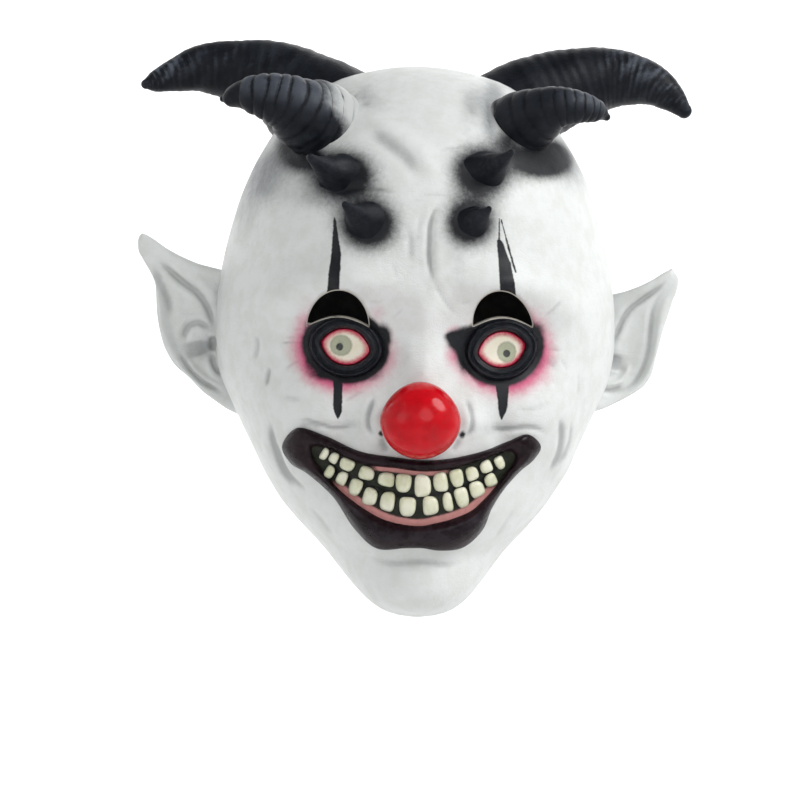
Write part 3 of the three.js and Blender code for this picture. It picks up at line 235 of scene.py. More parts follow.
# Each horn's run from inside the hood to its tip: out, back and up as shares of its reach, and
# thick as a share of its root radius.
BIG_HORN_LEFT = ((-0.28, -0.05, -0.14, 1.1), (-0.05, 0.0, 0.035, 0.91), (0.16, 0.04, 0.165, 0.71),
    (0.4, 0.06, 0.22, 0.56), (0.62, 0.04, 0.232, 0.435), (0.8, 0.0, 0.18, 0.295),
    (0.93, -0.045, 0.132, 0.18), (0.975, -0.065, 0.118, 0.09))
BIG_HORN_RIGHT = ((-0.28, -0.05, -0.14, 1.0), (-0.05, 0.0, 0.045, 0.82), (0.19, 0.04, 0.155, 0.7),
    (0.435, 0.06, 0.218, 0.575), (0.61, 0.04, 0.218, 0.475), (0.755, 0.0, 0.18, 0.375),
    (0.86, -0.02, 0.11, 0.275), (0.95, -0.045, 0.02, 0.14))
SMALL_HORN_LEFT = ((-0.2, 0.24, -0.2, 1.1), (-0.01, 0.0, 0.0, 1.04), (0.17, -0.17, 0.07, 0.93),
    (0.35, -0.28, 0.17, 0.74), (0.58, -0.3, 0.235, 0.58), (0.81, -0.25, 0.245, 0.4),
    (0.94, -0.19, 0.215, 0.26), (0.99, -0.16, 0.21, 0.12))
SMALL_HORN_RIGHT = ((-0.24, 0.24, -0.16, 1.0), (-0.07, 0.0, 0.0, 0.9), (0.1, -0.17, 0.1, 0.74),
    (0.28, -0.28, 0.18, 0.55), (0.48, -0.3, 0.19, 0.43), (0.63, -0.25, 0.17, 0.34),
    (0.74, -0.19, 0.14, 0.24), (0.8, -0.16, 0.105, 0.12))
BIG_HORN_SEAT = (math.radians(99), 0.075)
SMALL_HORN_SEAT = (math.radians(46), 0.118)

# Spikes: name, place across the forehead and down it, root and stand as shares, and where the
# tip points.
SPIKES = (("upper_left", -0.427, 0.218, 1.0, 1.0, -0.78, 0.47),
    ("upper_right", 0.294, 0.207, 0.95, 1.0, 0.6, 0.52),
    ("lower_left", -0.293, 0.3, 0.93, 0.9, -0.65, 0.5),
    ("lower_right", 0.227, 0.298, 0.78, 0.88, 0.42, 0.42))
SPIKE_GIRTH = ((0.0, 1.0), (0.3, 0.68), (0.55, 0.44), (0.8, 0.25), (0.95, 0.15))

# The ears: name, side, column of the free rim, reach, height, lobe's level. Then the level
# slices from the lobe up: rise, root, left rim, right rim (shares of the reach), cup, thick.
EARS = (("left", -1, 2, 1.0, 1.0, 0.654), ("right", 1, 3, 0.851, 0.818, 0.64))
EAR_SLICES = ((0.0, -0.12, 0.02, 0.05, 0.0, 0.6), (0.08, -0.12, 0.18, 0.27, 0.15, 0.8),
    (0.165, -0.08, 0.34, 0.475, 0.4, 0.9), (0.26, -0.02, 0.47, 0.64, 0.65, 1.0),
    (0.36, 0.02, 0.62, 0.715, 0.9, 1.0), (0.51, 0.06, 0.725, 0.76, 1.0, 1.0),
    (0.7, 0.08, 0.78, 0.82, 0.95, 1.0), (0.9, 0.06, 0.8, 0.9, 0.7, 1.0),
    (0.99, 0.1, 0.85, 0.934, 0.55, 1.0), (1.06, 0.42, 0.905, 0.97, 0.35, 0.9),
    (1.15, 0.68, 0.965, 0.99, 0.15, 0.75), (1.26, 0.885, 0.975, 0.935, 0.0, 0.5))
# Across an ear from the head to the rim: share, how much of the hollow, thick.
EAR_ACROSS = ((0.0, 0.45, 2.4), (0.22, 1.0, 1.7), (0.5, 1.0, 1.1), (0.8, 0.6, 0.9),
    (1.0, 0.0, 0.7))
# Grooves and folds of the ears, as the creases of the skin are given.
EAR_FOLDS = {"left": ((1.6, 2.0, ((-140, -101), (-136, -104), (-130, -109), (-124, -114),
    (-117, -119), (-112, -125), (-109, -131), (-107.3, -138), (-107, -143))),
    (3.0, -1.4, ((-134, -102), (-126, -108), (-116, -113), (-108, -121), (-104, -132))), (2.6,
    1.1, ((-141, -103), (-138, -110), (-134.5, -117), (-131, -126), (-130, -136))), (2.8, -1.3,
    ((-142, -106), (-138.5, -116), (-135.5, -128), (-135, -138), (-130, -149), (-123, -158),
    (-114, -167), (-104, -174))), (1.3, 1.6, ((-126, -150), (-122, -157), (-118, -162),
    (-113, -166.5), (-107, -170), (-100, -173))), (1.7, 1.6, ((-122.5, -147), (-122, -141),
    (-119.5, -137), (-115, -135.8), (-111, -137.6), (-108, -141))),
    (7.0, 1.6, ((-116, -144), (-115, -149), (-113, -154))),
    (1.5, 1.8, ((-107, -151), (-107.2, -156), (-105, -160.5), (-101, -164))),
    (1.8, 2.4, ((-107, -142), (-107, -151)))), "right": ((1.5, 1.9, ((137, -106), (129, -113.5),
    (121, -119.5), (116, -123.5), (112, -129), (109, -136), (106, -143), (103.5, -150))),
    (3.0, -1.2, ((133, -106), (122, -114), (113, -121), (107, -131), (104, -139))), (1.6, 1.1,
    ((137, -110), (131, -117), (127.5, -125), (126.5, -135), (125.5, -146), (122.5, -156),
    (118, -163.5), (111, -168.5), (102, -172))), (2.4, -1.1, ((138, -112), (133, -124),
    (130.5, -138), (128, -150), (123.5, -161), (114, -170), (104, -175.5))),
    (5.5, 1.6, ((107, -148), (107, -153), (106, -158))),
    (1.6, -1.4, ((100, -163.5), (105, -164.5), (110, -163), (114, -158), (115, -152))),
    (1.5, 1.2, ((98, -167.5), (106, -168), (113, -165))),
    (1.3, 2.2, ((103.2, -150), (101.5, -157))))}

# Where the rings of the small horns are cut, by x in millimetres.
SMALL_HORN_GROOVES = {"left": (-40, -44, -48, -52, -56, -60.5, -65, -69.5, -73.5, -77, -81.5,
    -86.5, -92.5), "right": (37, 41, 45, 50, 55, 60, 65, 69, 72.5, 76, 79.5, 83, 86.5, 90)}
# The dark line between the two rows of teeth, painted shade where they meet: x and z in
# millimetres.
TEETH_GAP_SHADE = ((-46, -205), (-42, -211), (-30, -216), (-20, -219), (-5, -221.5), (15, -218),
    (33, -212), (38, -206))

# --- Sizes and colours that a user would change ---


def length(name, default, description):
    return bpy.props.FloatProperty(name=name, description=description, default=default, min=0.0,
        precision=4, unit="LENGTH")


def share(name, default, description):
    return bpy.props.FloatProperty(name=name, description=description, default=default,
        precision=4, subtype="FACTOR")


def linear(red, green, blue):
    """Scene colour of a paint that is matched on a screen, 0 to 255."""
    return tuple(c / 12.92 if c <= 0.04045 else ((c + 0.055) / 1.055) ** 2.4
        for c in (red / 255, green / 255, blue / 255))


def paint(name, red, green, blue, description):
    return bpy.props.FloatVectorProperty(name=name, description=description,
        default=linear(red, green, blue), size=3, min=0.0, max=1.0, subtype="COLOR")


class HoodSizes(bpy.types.PropertyGroup):
    width: length("Width", 0.212, "Hood over the cheekbones")
    height: length("Height", 0.2865, "Hood from crown to chin")
    face_depth: length("Face depth", 0.106, "Middle of the head to the brow")
    nape_depth: length("Nape depth", 0.112, "Middle of the head to the back")
    wall: length("Wall", 0.0024, "Thickness of the latex")
    sink: length("Sink", 0.0012, "How far a seated piece is drawn into the wall")


class EyeSizes(bpy.types.PropertyGroup):
    spacing: length("Spacing", 0.0795, "Between the middles of the painted eyes")
    down: share("Level", 0.521, "Share of the hood's height below the crown")
    lid_width: length("Lid width", 0.038, "Over the painted lids")
    lid_height: length("Lid height", 0.031, "Over the painted lids")
    lid_lift: length("Lid lift", 0.0046, "How far the lids stand off the face")
    opening_width: length("Opening width", 0.025, "Between the lids")
    opening_height: length("Opening height", 0.0185, "Between the lids")
    eyeball_lift: length("Eyeball lift", 0.0034, "How far the eyeball bulges")
    slot_width: length("Slot width", 0.032, "Vision slot above the eye")
    slot_rise: length("Slot rise", 0.019, "Height of the slot's dome")
    slot_arch: length("Slot arch", 0.005, "How far the slot's lower edge bows up")


class NoseSizes(bpy.types.PropertyGroup):
    radius: length("Radius", 0.0194, "Of the ball")
    shift: bpy.props.FloatProperty(name="Shift", description="Sideways from the middle",
        default=-0.002, unit="LENGTH")
    down: share("Level", 0.647, "Share of the hood's height below the crown")
    stand: length("Stand", 0.005, "Ball's centre in front of the face")


class MouthSizes(bpy.types.PropertyGroup):
    shift: bpy.props.FloatProperty(name="Shift", description="Sideways from the middle",
        default=-0.0045, unit="LENGTH")
    down: share("Level", 0.7693, "Share of the hood's height below the crown")
    half_width: length("Half width", 0.066, "Over the lips")
    half_height: length("Half height", 0.030, "Over the lips")
    lip_lift: length("Lip lift", 0.007, "How full the lips are")
    gum_lift: length("Gum lift", 0.0016, "How far the gums stand off the face")
    tooth_width: length("Tooth width", 0.0078, "Of the widest tooth")
    tooth_height: length("Tooth height", 0.011, "Of the highest tooth")
    tooth_lift: length("Tooth lift", 0.0034, "How far the teeth stand off the gums")
    tooth_lean: bpy.props.FloatProperty(name="Tooth lean",
        description="For each metre from the middle of the mouth", default=11.0)


class HornSizes(bpy.types.PropertyGroup):
    big_reach: length("Big reach", 0.0845, "Of the curved horns on the crown")
    big_root: length("Big root", 0.030, "Radius of the curved horns")
    small_reach: length("Small reach", 0.050, "Of the ringed horns on the forehead")
    small_root: length("Small root", 0.020, "Radius of the ringed horns")
    groove: length("Groove", 0.0010, "Depth between the rings")
    spike_root: length("Spike root", 0.012, "Radius of the forehead spikes")
    spike_stand: length("Spike stand", 0.019, "How far the spikes stand out")


class EarSizes(bpy.types.PropertyGroup):
    reach: length("Reach", 0.057, "Of the larger ear, from its seat")
    height: length("Height", 0.0764, "Of the larger ear, up its seat")
    seat: share("Seat", 0.875, "Share of the hood's half width")
    thickness: length("Thickness", 0.005, "Near the rim")
    cup: length("Cup", 0.009, "Depth of the hollow")
    front: bpy.props.FloatProperty(name="Front", description="Place of the front edge",
        default=-0.008, unit="LENGTH")
    sweep: length("Sweep", 0.007, "How far the rim lies behind the front edge")


class MaskColours(bpy.types.PropertyGroup):
    white: paint("White latex", 227, 230, 229, "Skin of the face")
    airbrush_and_shade_grey: paint("Airbrush grey", 118, 121, 126, "Shading round horns and in creases")
    blush: paint("Blush", 206, 60, 116, "Glow round the eyes")
    black: paint("Black latex", 16, 19, 25, "Horns, spikes and lids")
    # Dry-brushed grey of the horns, which also paints highlights on their upper sides and sheen on
    # the lips' crown.
    dry_brush_and_sheen: paint("Dry brush", 88, 94, 104, "Worn ridges of the black horns")
    red: paint("Nose red", 204, 7, 24, "Ball of the nose")
    lip: paint("Lip brown", 21, 10, 15, "Lips")
    gum: paint("Gum pink", 204, 142, 138, "Bare gums")
    # Dark wash on the gums and the feet of the teeth; darkened further, it paints the shade
    # between the rows.
    grime_and_gap_shade: paint("Grime", 26, 29, 22, "Dark wash between the teeth")
    tooth: paint("Tooth cream", 232, 232, 212, "Teeth")
    eye: paint("Eye cream", 244, 238, 222, "Eyeballs")
    iris: paint("Iris", 188, 192, 164, "Ring of the iris")
    pupil: paint("Pupil", 46, 58, 50, "Middle of the iris")
    # Dark grey inside the hood: painted shade, as the inside lies in the dark.
    shaded_lining: paint("Lining", 62, 61, 60, "Bare latex inside")
    cut_edge: paint("Cut edge", 208, 203, 192, "Edges of the openings")


class ClownMask(bpy.types.PropertyGroup):
    hood: bpy.props.PointerProperty(type=HoodSizes, name="Hood", description="Sizes of the hood")
    eyes: bpy.props.PointerProperty(type=EyeSizes, name="Eyes", description="Eyes and slots")
    nose: bpy.props.PointerProperty(type=NoseSizes, name="Nose", description="Ball of the nose")
    mouth: bpy.props.PointerProperty(type=MouthSizes, name="Mouth", description="Lips and teeth")
    horns: bpy.props.PointerProperty(type=HornSizes, name="Horns", description="Horns and spikes")
    ears: bpy.props.PointerProperty(type=EarSizes, name="Ears", description="Sizes of the ears")
    colours: bpy.props.PointerProperty(type=MaskColours, name="Colours",
        description="Paints of the mask")


# --- Curves ---


def smoothstep(value, low, high):
    t = np.clip((value - low) / (high - low), 0.0, 1.0)
    return t * t * (3.0 - 2.0 * t)


def steady_curve(at, values):
    """A curve through the values that bulges nowhere between them."""
    at, values = np.asarray(at, float), np.asarray(values, float)
    slopes = np.diff(values) / np.diff(at)
    before, after = slopes[:-1], slopes[1:]
    total = np.where(before * after > 0, before + after, 1.0)
    inner = np.where(before * after > 0, 2.0 * before * after / total, 0.0)
    tangents = np.concatenate((slopes[:1], inner, slopes[-1:]))

    def curve(t):
        i = np.clip(np.searchsorted(at, t) - 1, 0, len(at) - 2)
        step = at[i + 1] - at[i]
        u = np.clip((t - at[i]) / step, 0.0, 1.0)
        v = 1.0 - u
        return (values[i] * v * v * (1 + 2 * u) + tangents[i] * step * u * v * v
            + values[i + 1] * u * u * (3 - 2 * u) - tangents[i + 1] * step * u * u * v)

    return curve


def path_through(points, closed=False):
    """A smooth path through the points, from 0 to 1."""
    points = np.asarray(points, float)
    count = len(points)
    if closed:
        padded = np.concatenate((points[-1:], points, points[:2]))
        spans = count
    else:
        first = 2 * points[0] - points[1]
        last = 2 * points[-1] - points[-2]
        padded = np.concatenate(([first], points, [last]))
        spans = count - 1

    def path(t):
        place = np.clip(np.asarray(t, float), 0.0, 1.0) * spans
        i = np.minimum(place.astype(int), spans - 1)
        w = (place - i)[..., None]
        p0, p1, p2, p3 = (padded[i + k] for k in range(4))
        d0, d1, d2 = (np.sqrt(np.linalg.norm(b - a, axis=-1, keepdims=True)) for a,
            b in ((p0, p1), (p1, p2), (p2, p3)))
        t1 = d1 * ((p1 - p0) / d0 - (p2 - p0) / (d0 + d1) + (p2 - p1) / d1)
        t2 = d1 * ((p2 - p1) / d1 - (p3 - p1) / (d1 + d2) + (p3 - p2) / d2)
        return (p1 + t1 * w + (3 * (p2 - p1) - 2 * t1 - t2) * w**2
            + (2 * (p1 - p2) + t1 + t2) * w**3)

    return path


def distance_to(flat, line):
    """How far each point is from a line of points, and how far along the line that is, 0 to 1."""
    start, run = line[:-1], np.diff(line, axis=0)
    lengths = np.maximum(np.linalg.norm(run, axis=1), 1e-9)
    before = np.concatenate(([0.0], np.cumsum(lengths)[:-1]))
    offset = flat[:, None, :] - start[None]
    t = np.clip((offset * run[None]).sum(2) / lengths**2, 0.0, 1.0)
    gap = np.linalg.norm(offset - t[..., None] * run[None], axis=2)
    best = gap.argmin(1)
    rows = np.arange(len(flat))
    return gap[rows, best], (before[best] + t[rows, best] * lengths[best]) / lengths.sum()


def grooves(flat, strokes, unit=MM):
    """How deep the strokes cut each point, and how strongly each point is darkened by them as
    painted shade.
    """
    cut, crease_shade = np.zeros(len(flat)), np.zeros(len(flat))
    for width, depth, points in strokes:
        width, depth = width * MM, depth * MM
        points = np.asarray(points, float) * unit
        line = path_through(points)(np.linspace(0, 1, 6 * len(points)))
        low, high = line.min(0) - 4 * width, line.max(0) + 4 * width
        near = np.nonzero(((flat > low) & (flat < high)).all(1))[0]
        if not len(near):
            continue
        gap, along = distance_to(flat[near], line)
        taper = smoothstep(along, -0.02, 0.3) * smoothstep(1 - along, -0.02, 0.3)
        groove = np.exp(-((gap / width) ** 2))
        swell = np.exp(-(((gap - 2.1 * width) / width) ** 2))
        cut[near] += depth * taper * (groove - 0.3 * swell)
        crease_shade[near] += max(depth, 0.0) * taper * groove / MM
    return cut, np.clip(crease_shade, 0.0, 1.0)


def soft_spot_cover(flat, spots):
    """How strongly each point is covered by soft spots of paint and of painted shade."""
    cover = np.zeros(len(flat))
    for x, z, wide, tall, strength in spots:
        across = (flat[:, 0] - x * MM) / (wide * MM)
        up = (flat[:, 1] - z * MM) / (tall * MM)
        cover = cover + (1 - cover) * strength * np.exp(-(across**2) - up**2)
    return cover


def inside(flat, outline):
    """Which points lie inside a flat outline."""
    hit = np.zeros(len(flat), bool)
    for a, b in zip(outline, np.roll(outline, -1, axis=0)):
        crosses = (a[1] > flat[:, 1]) != (b[1] > flat[:, 1])
        rise = b[1] - a[1] if b[1] != a[1] else 1e-12
        hit ^= crosses & (flat[:, 0] < a[0] + (flat[:, 1] - a[1]) * (b[0] - a[0]) / rise)
    return hit


def onto(flat, outline):
    """The nearest point of a closed outline to each point."""
    start = outline
    run = np.roll(outline, -1, axis=0) - outline
    offset = flat[:, None, :] - start[None]
    t = np.clip((offset * run[None]).sum(2) / np.maximum((run**2).sum(1), 1e-12), 0.0, 1.0)
    near = start[None] + t[..., None] * run[None]
    best = np.linalg.norm(flat[:, None, :] - near, axis=2).argmin(1)
    return near[np.arange(len(flat)), best]


# --- The hood's surface ---


def pole_angle(down):
    return np.arccos(1 - 2 * np.clip(down, 0.0, 1.0))


SECTION_ANGLES = pole_angle(np.array([row[0] for row in SECTIONS]))
HALF, FRONT, MID, BACK, SQUARE = (steady_curve(SECTION_ANGLES,
    [row[k] for row in SECTIONS]) for k in range(1, 6))


class Skin:
    """The outer surface of the hood, by turn (0 at the face, positive towards +X) and by down
    (share of the hood's height below the crown)."""

    def __init__(self, mask):
        hood = mask.hood
        self.half_width = hood.width / 2
        self.height, self.wall, self.sink = hood.height, hood.wall, hood.sink
        self.face_depth, self.nape_depth = hood.face_depth, hood.nape_depth
        self.features = {"crown": (self.level(0.0), self.half_width),
            "eyes": (self.level(mask.eyes.down), mask.eyes.spacing / 2),
            "nose": (self.level(mask.nose.down), mask.nose.radius),
            "mouth": (self.level(mask.mouth.down), mask.mouth.half_width),
            "chin": (self.level(1.0), self.half_width)}

    def level(self, down):
        return self.wall - down * self.height

    def bare(self, turn, down):
        angle = pole_angle(down)
        power = SQUARE(angle)
        across = np.sin(turn)
        along = np.maximum(0.0, 1 - np.abs(across) ** power) ** (1 / power)
        mid = MID(angle) * self.face_depth
        reach = np.where(np.cos(turn) > 0, -FRONT(angle) * self.face_depth - mid,
            BACK(angle) * self.nape_depth - mid)
        x = across * HALF(angle) * self.half_width
        return np.stack((x, mid + reach * along, self.level(down) + 0 * x), axis=-1)

    def normal(self, turn, down):
        step = 0.004
        level = np.clip(down, 2 * step, 1 - 2 * step)
        along = self.bare(turn + step, level) - self.bare(turn - step, level)
        up = self.bare(turn, level - step) - self.bare(turn, level + step)
        out = np.cross(along, up)
        return out / np.linalg.norm(out, axis=-1, keepdims=True)

    def relief(self, point, turn):
        facing = smoothstep(np.cos(turn), -0.05, 0.35)
        total = 0.0
        for feature, out, up, wide, tall, lift in RELIEF:
            z, half = self.features[feature]
            sideways = (np.abs(point[..., 0]) - out * half) / (wide * self.face_depth)
            upward = (point[..., 2] - z - up * self.face_depth) / (tall * self.face_depth)
            total = total + lift * np.exp(-(sideways**2) - upward**2)
        return facing * total * self.face_depth

    def at(self, turn, down, lift=0.0):
        turn, down = np.broadcast_arrays(np.asarray(turn, float), np.asarray(down, float))
        point = self.bare(turn, down)
        rise = self.relief(point, turn) + lift
        return point + self.normal(turn, down) * rise[..., None]

    def on_face(self, x, z, lift=0.0):
        """The point of the face that is seen at x and z from the front."""
        x, z = np.broadcast_arrays(np.asarray(x, float), np.asarray(z, float))
        down = (self.wall - z) / self.height
        turn = np.arcsin(np.clip(x / self.half_width, -0.9, 0.9))
        point = self.at(turn, down, lift)
        for _ in range(14):
            half = np.maximum(0.1, HALF(pole_angle(down))) * self.half_width
            turn = turn + 0.8 * (x - point[..., 0]) / (half * np.maximum(0.35, np.cos(turn)))
            down = down - 0.8 * (z - point[..., 2]) / self.height
            point = self.at(turn, down, lift)
        return point

    def nearest(self, points):
        """Turn, down and height of each point over the surface."""
        x, y, z = points.T
        angle = pole_angle(np.clip((self.wall - z) / self.height, 0.01, 0.97))
        depth = np.where(y < 0, self.face_depth, self.nape_depth)
        turn = np.arctan2(x / self.half_width, -y / depth)
        step = 1e-3
        for _ in range(16):
            down = (1 - np.cos(angle)) / 2
            here = self.at(turn, down)
            by_turn = (self.at(turn + step, down) - here) / step
            by_angle = (self.at(turn, (1 - np.cos(angle + step)) / 2) - here) / step
            gap = points - here
            a, b, c = (by_turn**2).sum(1), (by_turn * by_angle).sum(1), (by_angle**2).sum(1)
            p, q = (by_turn * gap).sum(1), (by_angle * gap).sum(1)
            room = np.maximum(a * c - b * b, 1e-12)
            turn = turn + np.clip((c * p - b * q) / room, -0.25, 0.25) * 0.8
            angle = np.clip(angle + np.clip((a * q - b * p) / room, -0.2, 0.2) * 0.8, 0.02,
                math.pi - 0.05)
        down = (1 - np.cos(angle)) / 2
        height = ((points - self.at(turn, down)) * self.normal(turn, down)).sum(1)
        return turn, down, height

    def laid(self, points):
        """The points of the surface that are nearest to these."""
        return self.at(*self.nearest(points)[:2])

    def seated(self, points):
        """The points, with those that lie deeper in the wall than the sink drawn up to it."""
        turn, down, height = self.nearest(points)
        deep = height < -self.sink
        return np.where(deep[:, None], self.at(turn, down, -self.sink), points)


# --- Making meshes ---


def sheet(columns, rows, place):
    """A grid of cells whose corners, each told by two shares from 0 to 1, are put in place; what
    meets is welded, and what is left closed faces outwards."""
    bm = bmesh.new()
    bm.loops.layers.uv.new("UVMap")
    bmesh.ops.create_grid(bm, x_segments=columns, y_segments=rows, size=0.5, calc_uvs=True)
    flat = np.array([vert.co.xy for vert in bm.verts]) + 0.5
    put(bm.verts, place(flat[:, 0], flat[:, 1]))
    bmesh.ops.remove_doubles(bm, verts=bm.verts, dist=1e-6)
    bmesh.ops.recalc_face_normals(bm, faces=bm.faces)
    return bm


def corners(bm):
    return np.array([vert.co for vert in bm.verts])


def put(verts, points):
    for vert, point in zip(verts, points):
        vert.co = point


def painted(piece, **covers):
    """Stores, for each corner of the piece, how strongly each paint, painted shade and painted
    highlight covers it.
    """
    for name, values in covers.items():
        layer = piece.data.attributes.new(name, "FLOAT", "POINT")
        layer.data.foreach_set("value", np.asarray(values, np.float32))


def finished(bm, name, materials, slot, *nodes):
    """A piece made from the mesh, which stands for its CAD nodes."""
    mesh = bpy.data.meshes.new(name)
    bm.to_mesh(mesh)
    bm.free()
    mesh.shade_smooth()
    for material in materials:
        mesh.materials.append(material)
    piece = bpy.data.objects.new(name, mesh)
    bpy.context.scene.collection.objects.link(piece)
    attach(piece, "root")
    if nodes:
        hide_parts(*nodes)
    return piece


# --- The hood ---


def eye_middle(mask, skin, eye):
    return eye[1] * eye[2] * mask.eyes.spacing / 2, skin.level(mask.eyes.down)


def slot_outline(mask, skin, eye):
    """The vision slot, a low dome whose lower edge bows up over the lid, seen from the front."""
    _, side, _, _, out, up, peak = eye
    sizes = mask.eyes
    x, z = eye_middle(mask, skin, eye)
    middle, sill = x + side * out * sizes.slot_width, z + up * sizes.lid_height
    half = sizes.slot_width / 2
    angle = np.linspace(math.pi, 0.0, 40)
    skew = (peak - 0.5) * sizes.slot_width * np.sin(angle)
    dome = np.stack((middle + half * np.cos(angle) + skew,
        sill + sizes.slot_rise * np.sin(angle)), axis=1)
    t = np.linspace(1.0, 0.0, 26)[1:-1]
    edge = np.stack((middle - half + sizes.slot_width * t,
        sill + sizes.slot_arch * np.sin(math.pi * t)), axis=1)
    return np.concatenate((dome, edge))


def open_up(bm, axes, outline, on_side, settle=None, evened=0):
    """Takes the faces inside an outline out of the skin and draws the new edge onto it. The two
    axes are those of the outline, on_side tells which points of the skin it can reach,
    settle puts the new edge back onto the surface, and evened is how often it is smoothed."""
    middles = np.array([face.calc_center_median() for face in bm.faces])
    gone = inside(middles[:, axes], outline) & on_side(middles)
    cut = [face for face, out in zip(bm.faces, gone) if out]
    edge = {vert for face in cut for vert in face.verts}
    bmesh.ops.delete(bm, geom=cut, context="FACES")
    edge = [vert for vert in edge if vert.is_valid]
    if not edge:
        raise RuntimeError("an opening misses the skin")
    points = np.array([vert.co for vert in edge])
    points[:, axes] = onto(points[:, axes], outline)
    if settle:
        points = settle(points)
    put(edge, points)
    for _ in range(evened):
        put(edge, settle(np.array(drawn_even(edge))))


def drawn_even(edge):
    """Each corner of a new edge, drawn between the two beside it."""
    drawn = []
    for vert in edge:
        beside = [link.other_vert(vert).co for link in vert.link_edges if link.is_boundary]
        drawn.append((2 * vert.co + beside[0] + beside[1]) / 4 if len(beside) == 2 else vert.co)
    return drawn


def rim_outline(skin):
    """What lies below the hood's open edge, seen from the side."""
    line = [(-fore * skin.face_depth, skin.level(down)) for fore, down in RIM]
    line = path_through(line)(np.linspace(0, 1, 60))
    floor = skin.level(1.3)
    return np.concatenate((line, [(line[-1][0], floor), (line[0][0], floor)]))


HOOD_FACE = math.radians(80)
FACE_SHARE = 0.39


def hood_turn(u):
    """Close columns over the face, the closest in its middle, and wide ones behind."""
    face = (u - 0.5) / FACE_SHARE
    middle = HOOD_FACE * (0.8 * face + 0.2 * face**3)
    behind = (np.abs(u - 0.5) - FACE_SHARE) / (0.5 - FACE_SHARE)
    behind = (math.pi - HOOD_FACE) * behind * (0.45 + 0.55 * behind)
    return np.where(np.abs(face) <= 1, middle, np.sign(face) * (HOOD_FACE + behind))


def hood_down(v):
    """Rows from the chin (0) to the crown (1), with both poles round."""
    quarter = math.pi / 2
    chin = 1 - 0.07 * (1 - np.cos(np.clip(v / 0.05, 0, 1) * quarter))
    face = 0.93 - 0.81 * (v - 0.05) / 0.88
    crown = 0.12 * (1 - np.sin(np.clip((v - 0.93) / 0.07, 0, 1) * quarter))
    return np.where(v < 0.05, chin, np.where(v > 0.93, crown, face))


def crease_cuts(skin, turn, down):
    """How deep the skin is creased, and how strongly each crease is shaded."""
    plain = skin.at(turn, down)
    front = smoothstep(np.cos(turn), 0.02, 0.3)
    cut, crease_shade = grooves(plain[:, [0, 2]], CREASES)
    cut, crease_shade = cut * front, crease_shade * smoothstep(np.cos(turn), 0.2, 0.55)
    around = np.stack((np.degrees(turn) % 360.0, down), axis=1)
    scale = np.array([math.pi / 180 * skin.half_width, skin.height])
    for width, depth, points in BACK_FOLDS:
        line = np.asarray(points, float) * scale
        fold, _ = grooves(around * scale, ((width, depth, line),), unit=1.0)
        cut = cut + fold
        crease_shade = crease_shade + 0.35 * np.clip(fold / MM, 0.0, 1.0)
    return cut, crease_shade


def make_hood(mask):
    skin = Skin(mask)

    def place(u, v):
        turn, down = hood_turn(u), hood_down(v)
        turn = np.where((v <= 1e-6) | (v >= 1 - 1e-6), 0.0, turn)
        cut, _ = crease_cuts(skin, turn, down)
        return skin.at(turn, down, -cut)

    bm = sheet(236, 194, place)
    slots = [slot_outline(mask, skin, eye) for eye in EYES]
    for outline in slots:
        open_up(bm, [0, 2], outline, lambda p: p[:, 1] < -0.03,
            lambda p: skin.on_face(p[:, 0], p[:, 2]))
    slit = skin.level(0.518)
    around = np.linspace(0, 2 * math.pi, 24, endpoint=False)
    lens = np.stack((-0.005 + 0.011 * np.cos(around), slit + 0.0033 * np.sin(around)), axis=1)
    for side in (-1, 1):
        open_up(bm, [1, 2], lens, lambda p: p[:, 0] * side > 0.09, skin.laid, evened=1)
    open_up(bm, [1, 2], rim_outline(skin), lambda p: p[:, 2] < -0.1, skin.laid, evened=6)
    points = corners(bm)
    turn = np.arctan2(points[:, 0] / skin.half_width, -points[:, 1] / skin.face_depth)
    front = smoothstep(np.cos(turn), -0.1, 0.25)
    flat = points[:, [0, 2]]
    _, fold_shade = crease_cuts(skin, *skin.nearest(points)[:2])
    piece = finished(bm, "latex_hood", [white_latex(mask), shaded_lining(mask), cut_latex(mask)],
        "white_latex", "head_shell", "crown_shell", "nape_shell")
    black, pink = paint_round_eyes(mask, skin, flat)
    soot = np.maximum(soft_spot_cover(flat, BLACK_AND_SHADOW_SPOTS), black)
    # The grey is airbrush with painted shade, the line is painted shade in the creases, and the
    # black is paint with painted shadow.
    painted(piece, shade=np.maximum(soft_spot_cover(flat, GREY_AND_SHADE_SPOTS) * front,
        shade_sides(mask, skin, points)),
        blush=np.maximum(soft_spot_cover(flat, PINK_SPOTS), pink) * front, soot=soot * front,
        line=fold_shade, bare=np.ones(len(points)))
    wall = piece.modifiers.new("Wall", "SOLIDIFY")
    wall.thickness = mask.hood.wall
    wall.offset = -1.0
    wall.material_offset = 1
    wall.material_offset_rim = 2
    for eye, outline in zip(EYES, slots):
        make_slot_bead(mask, skin, eye[0], outline)


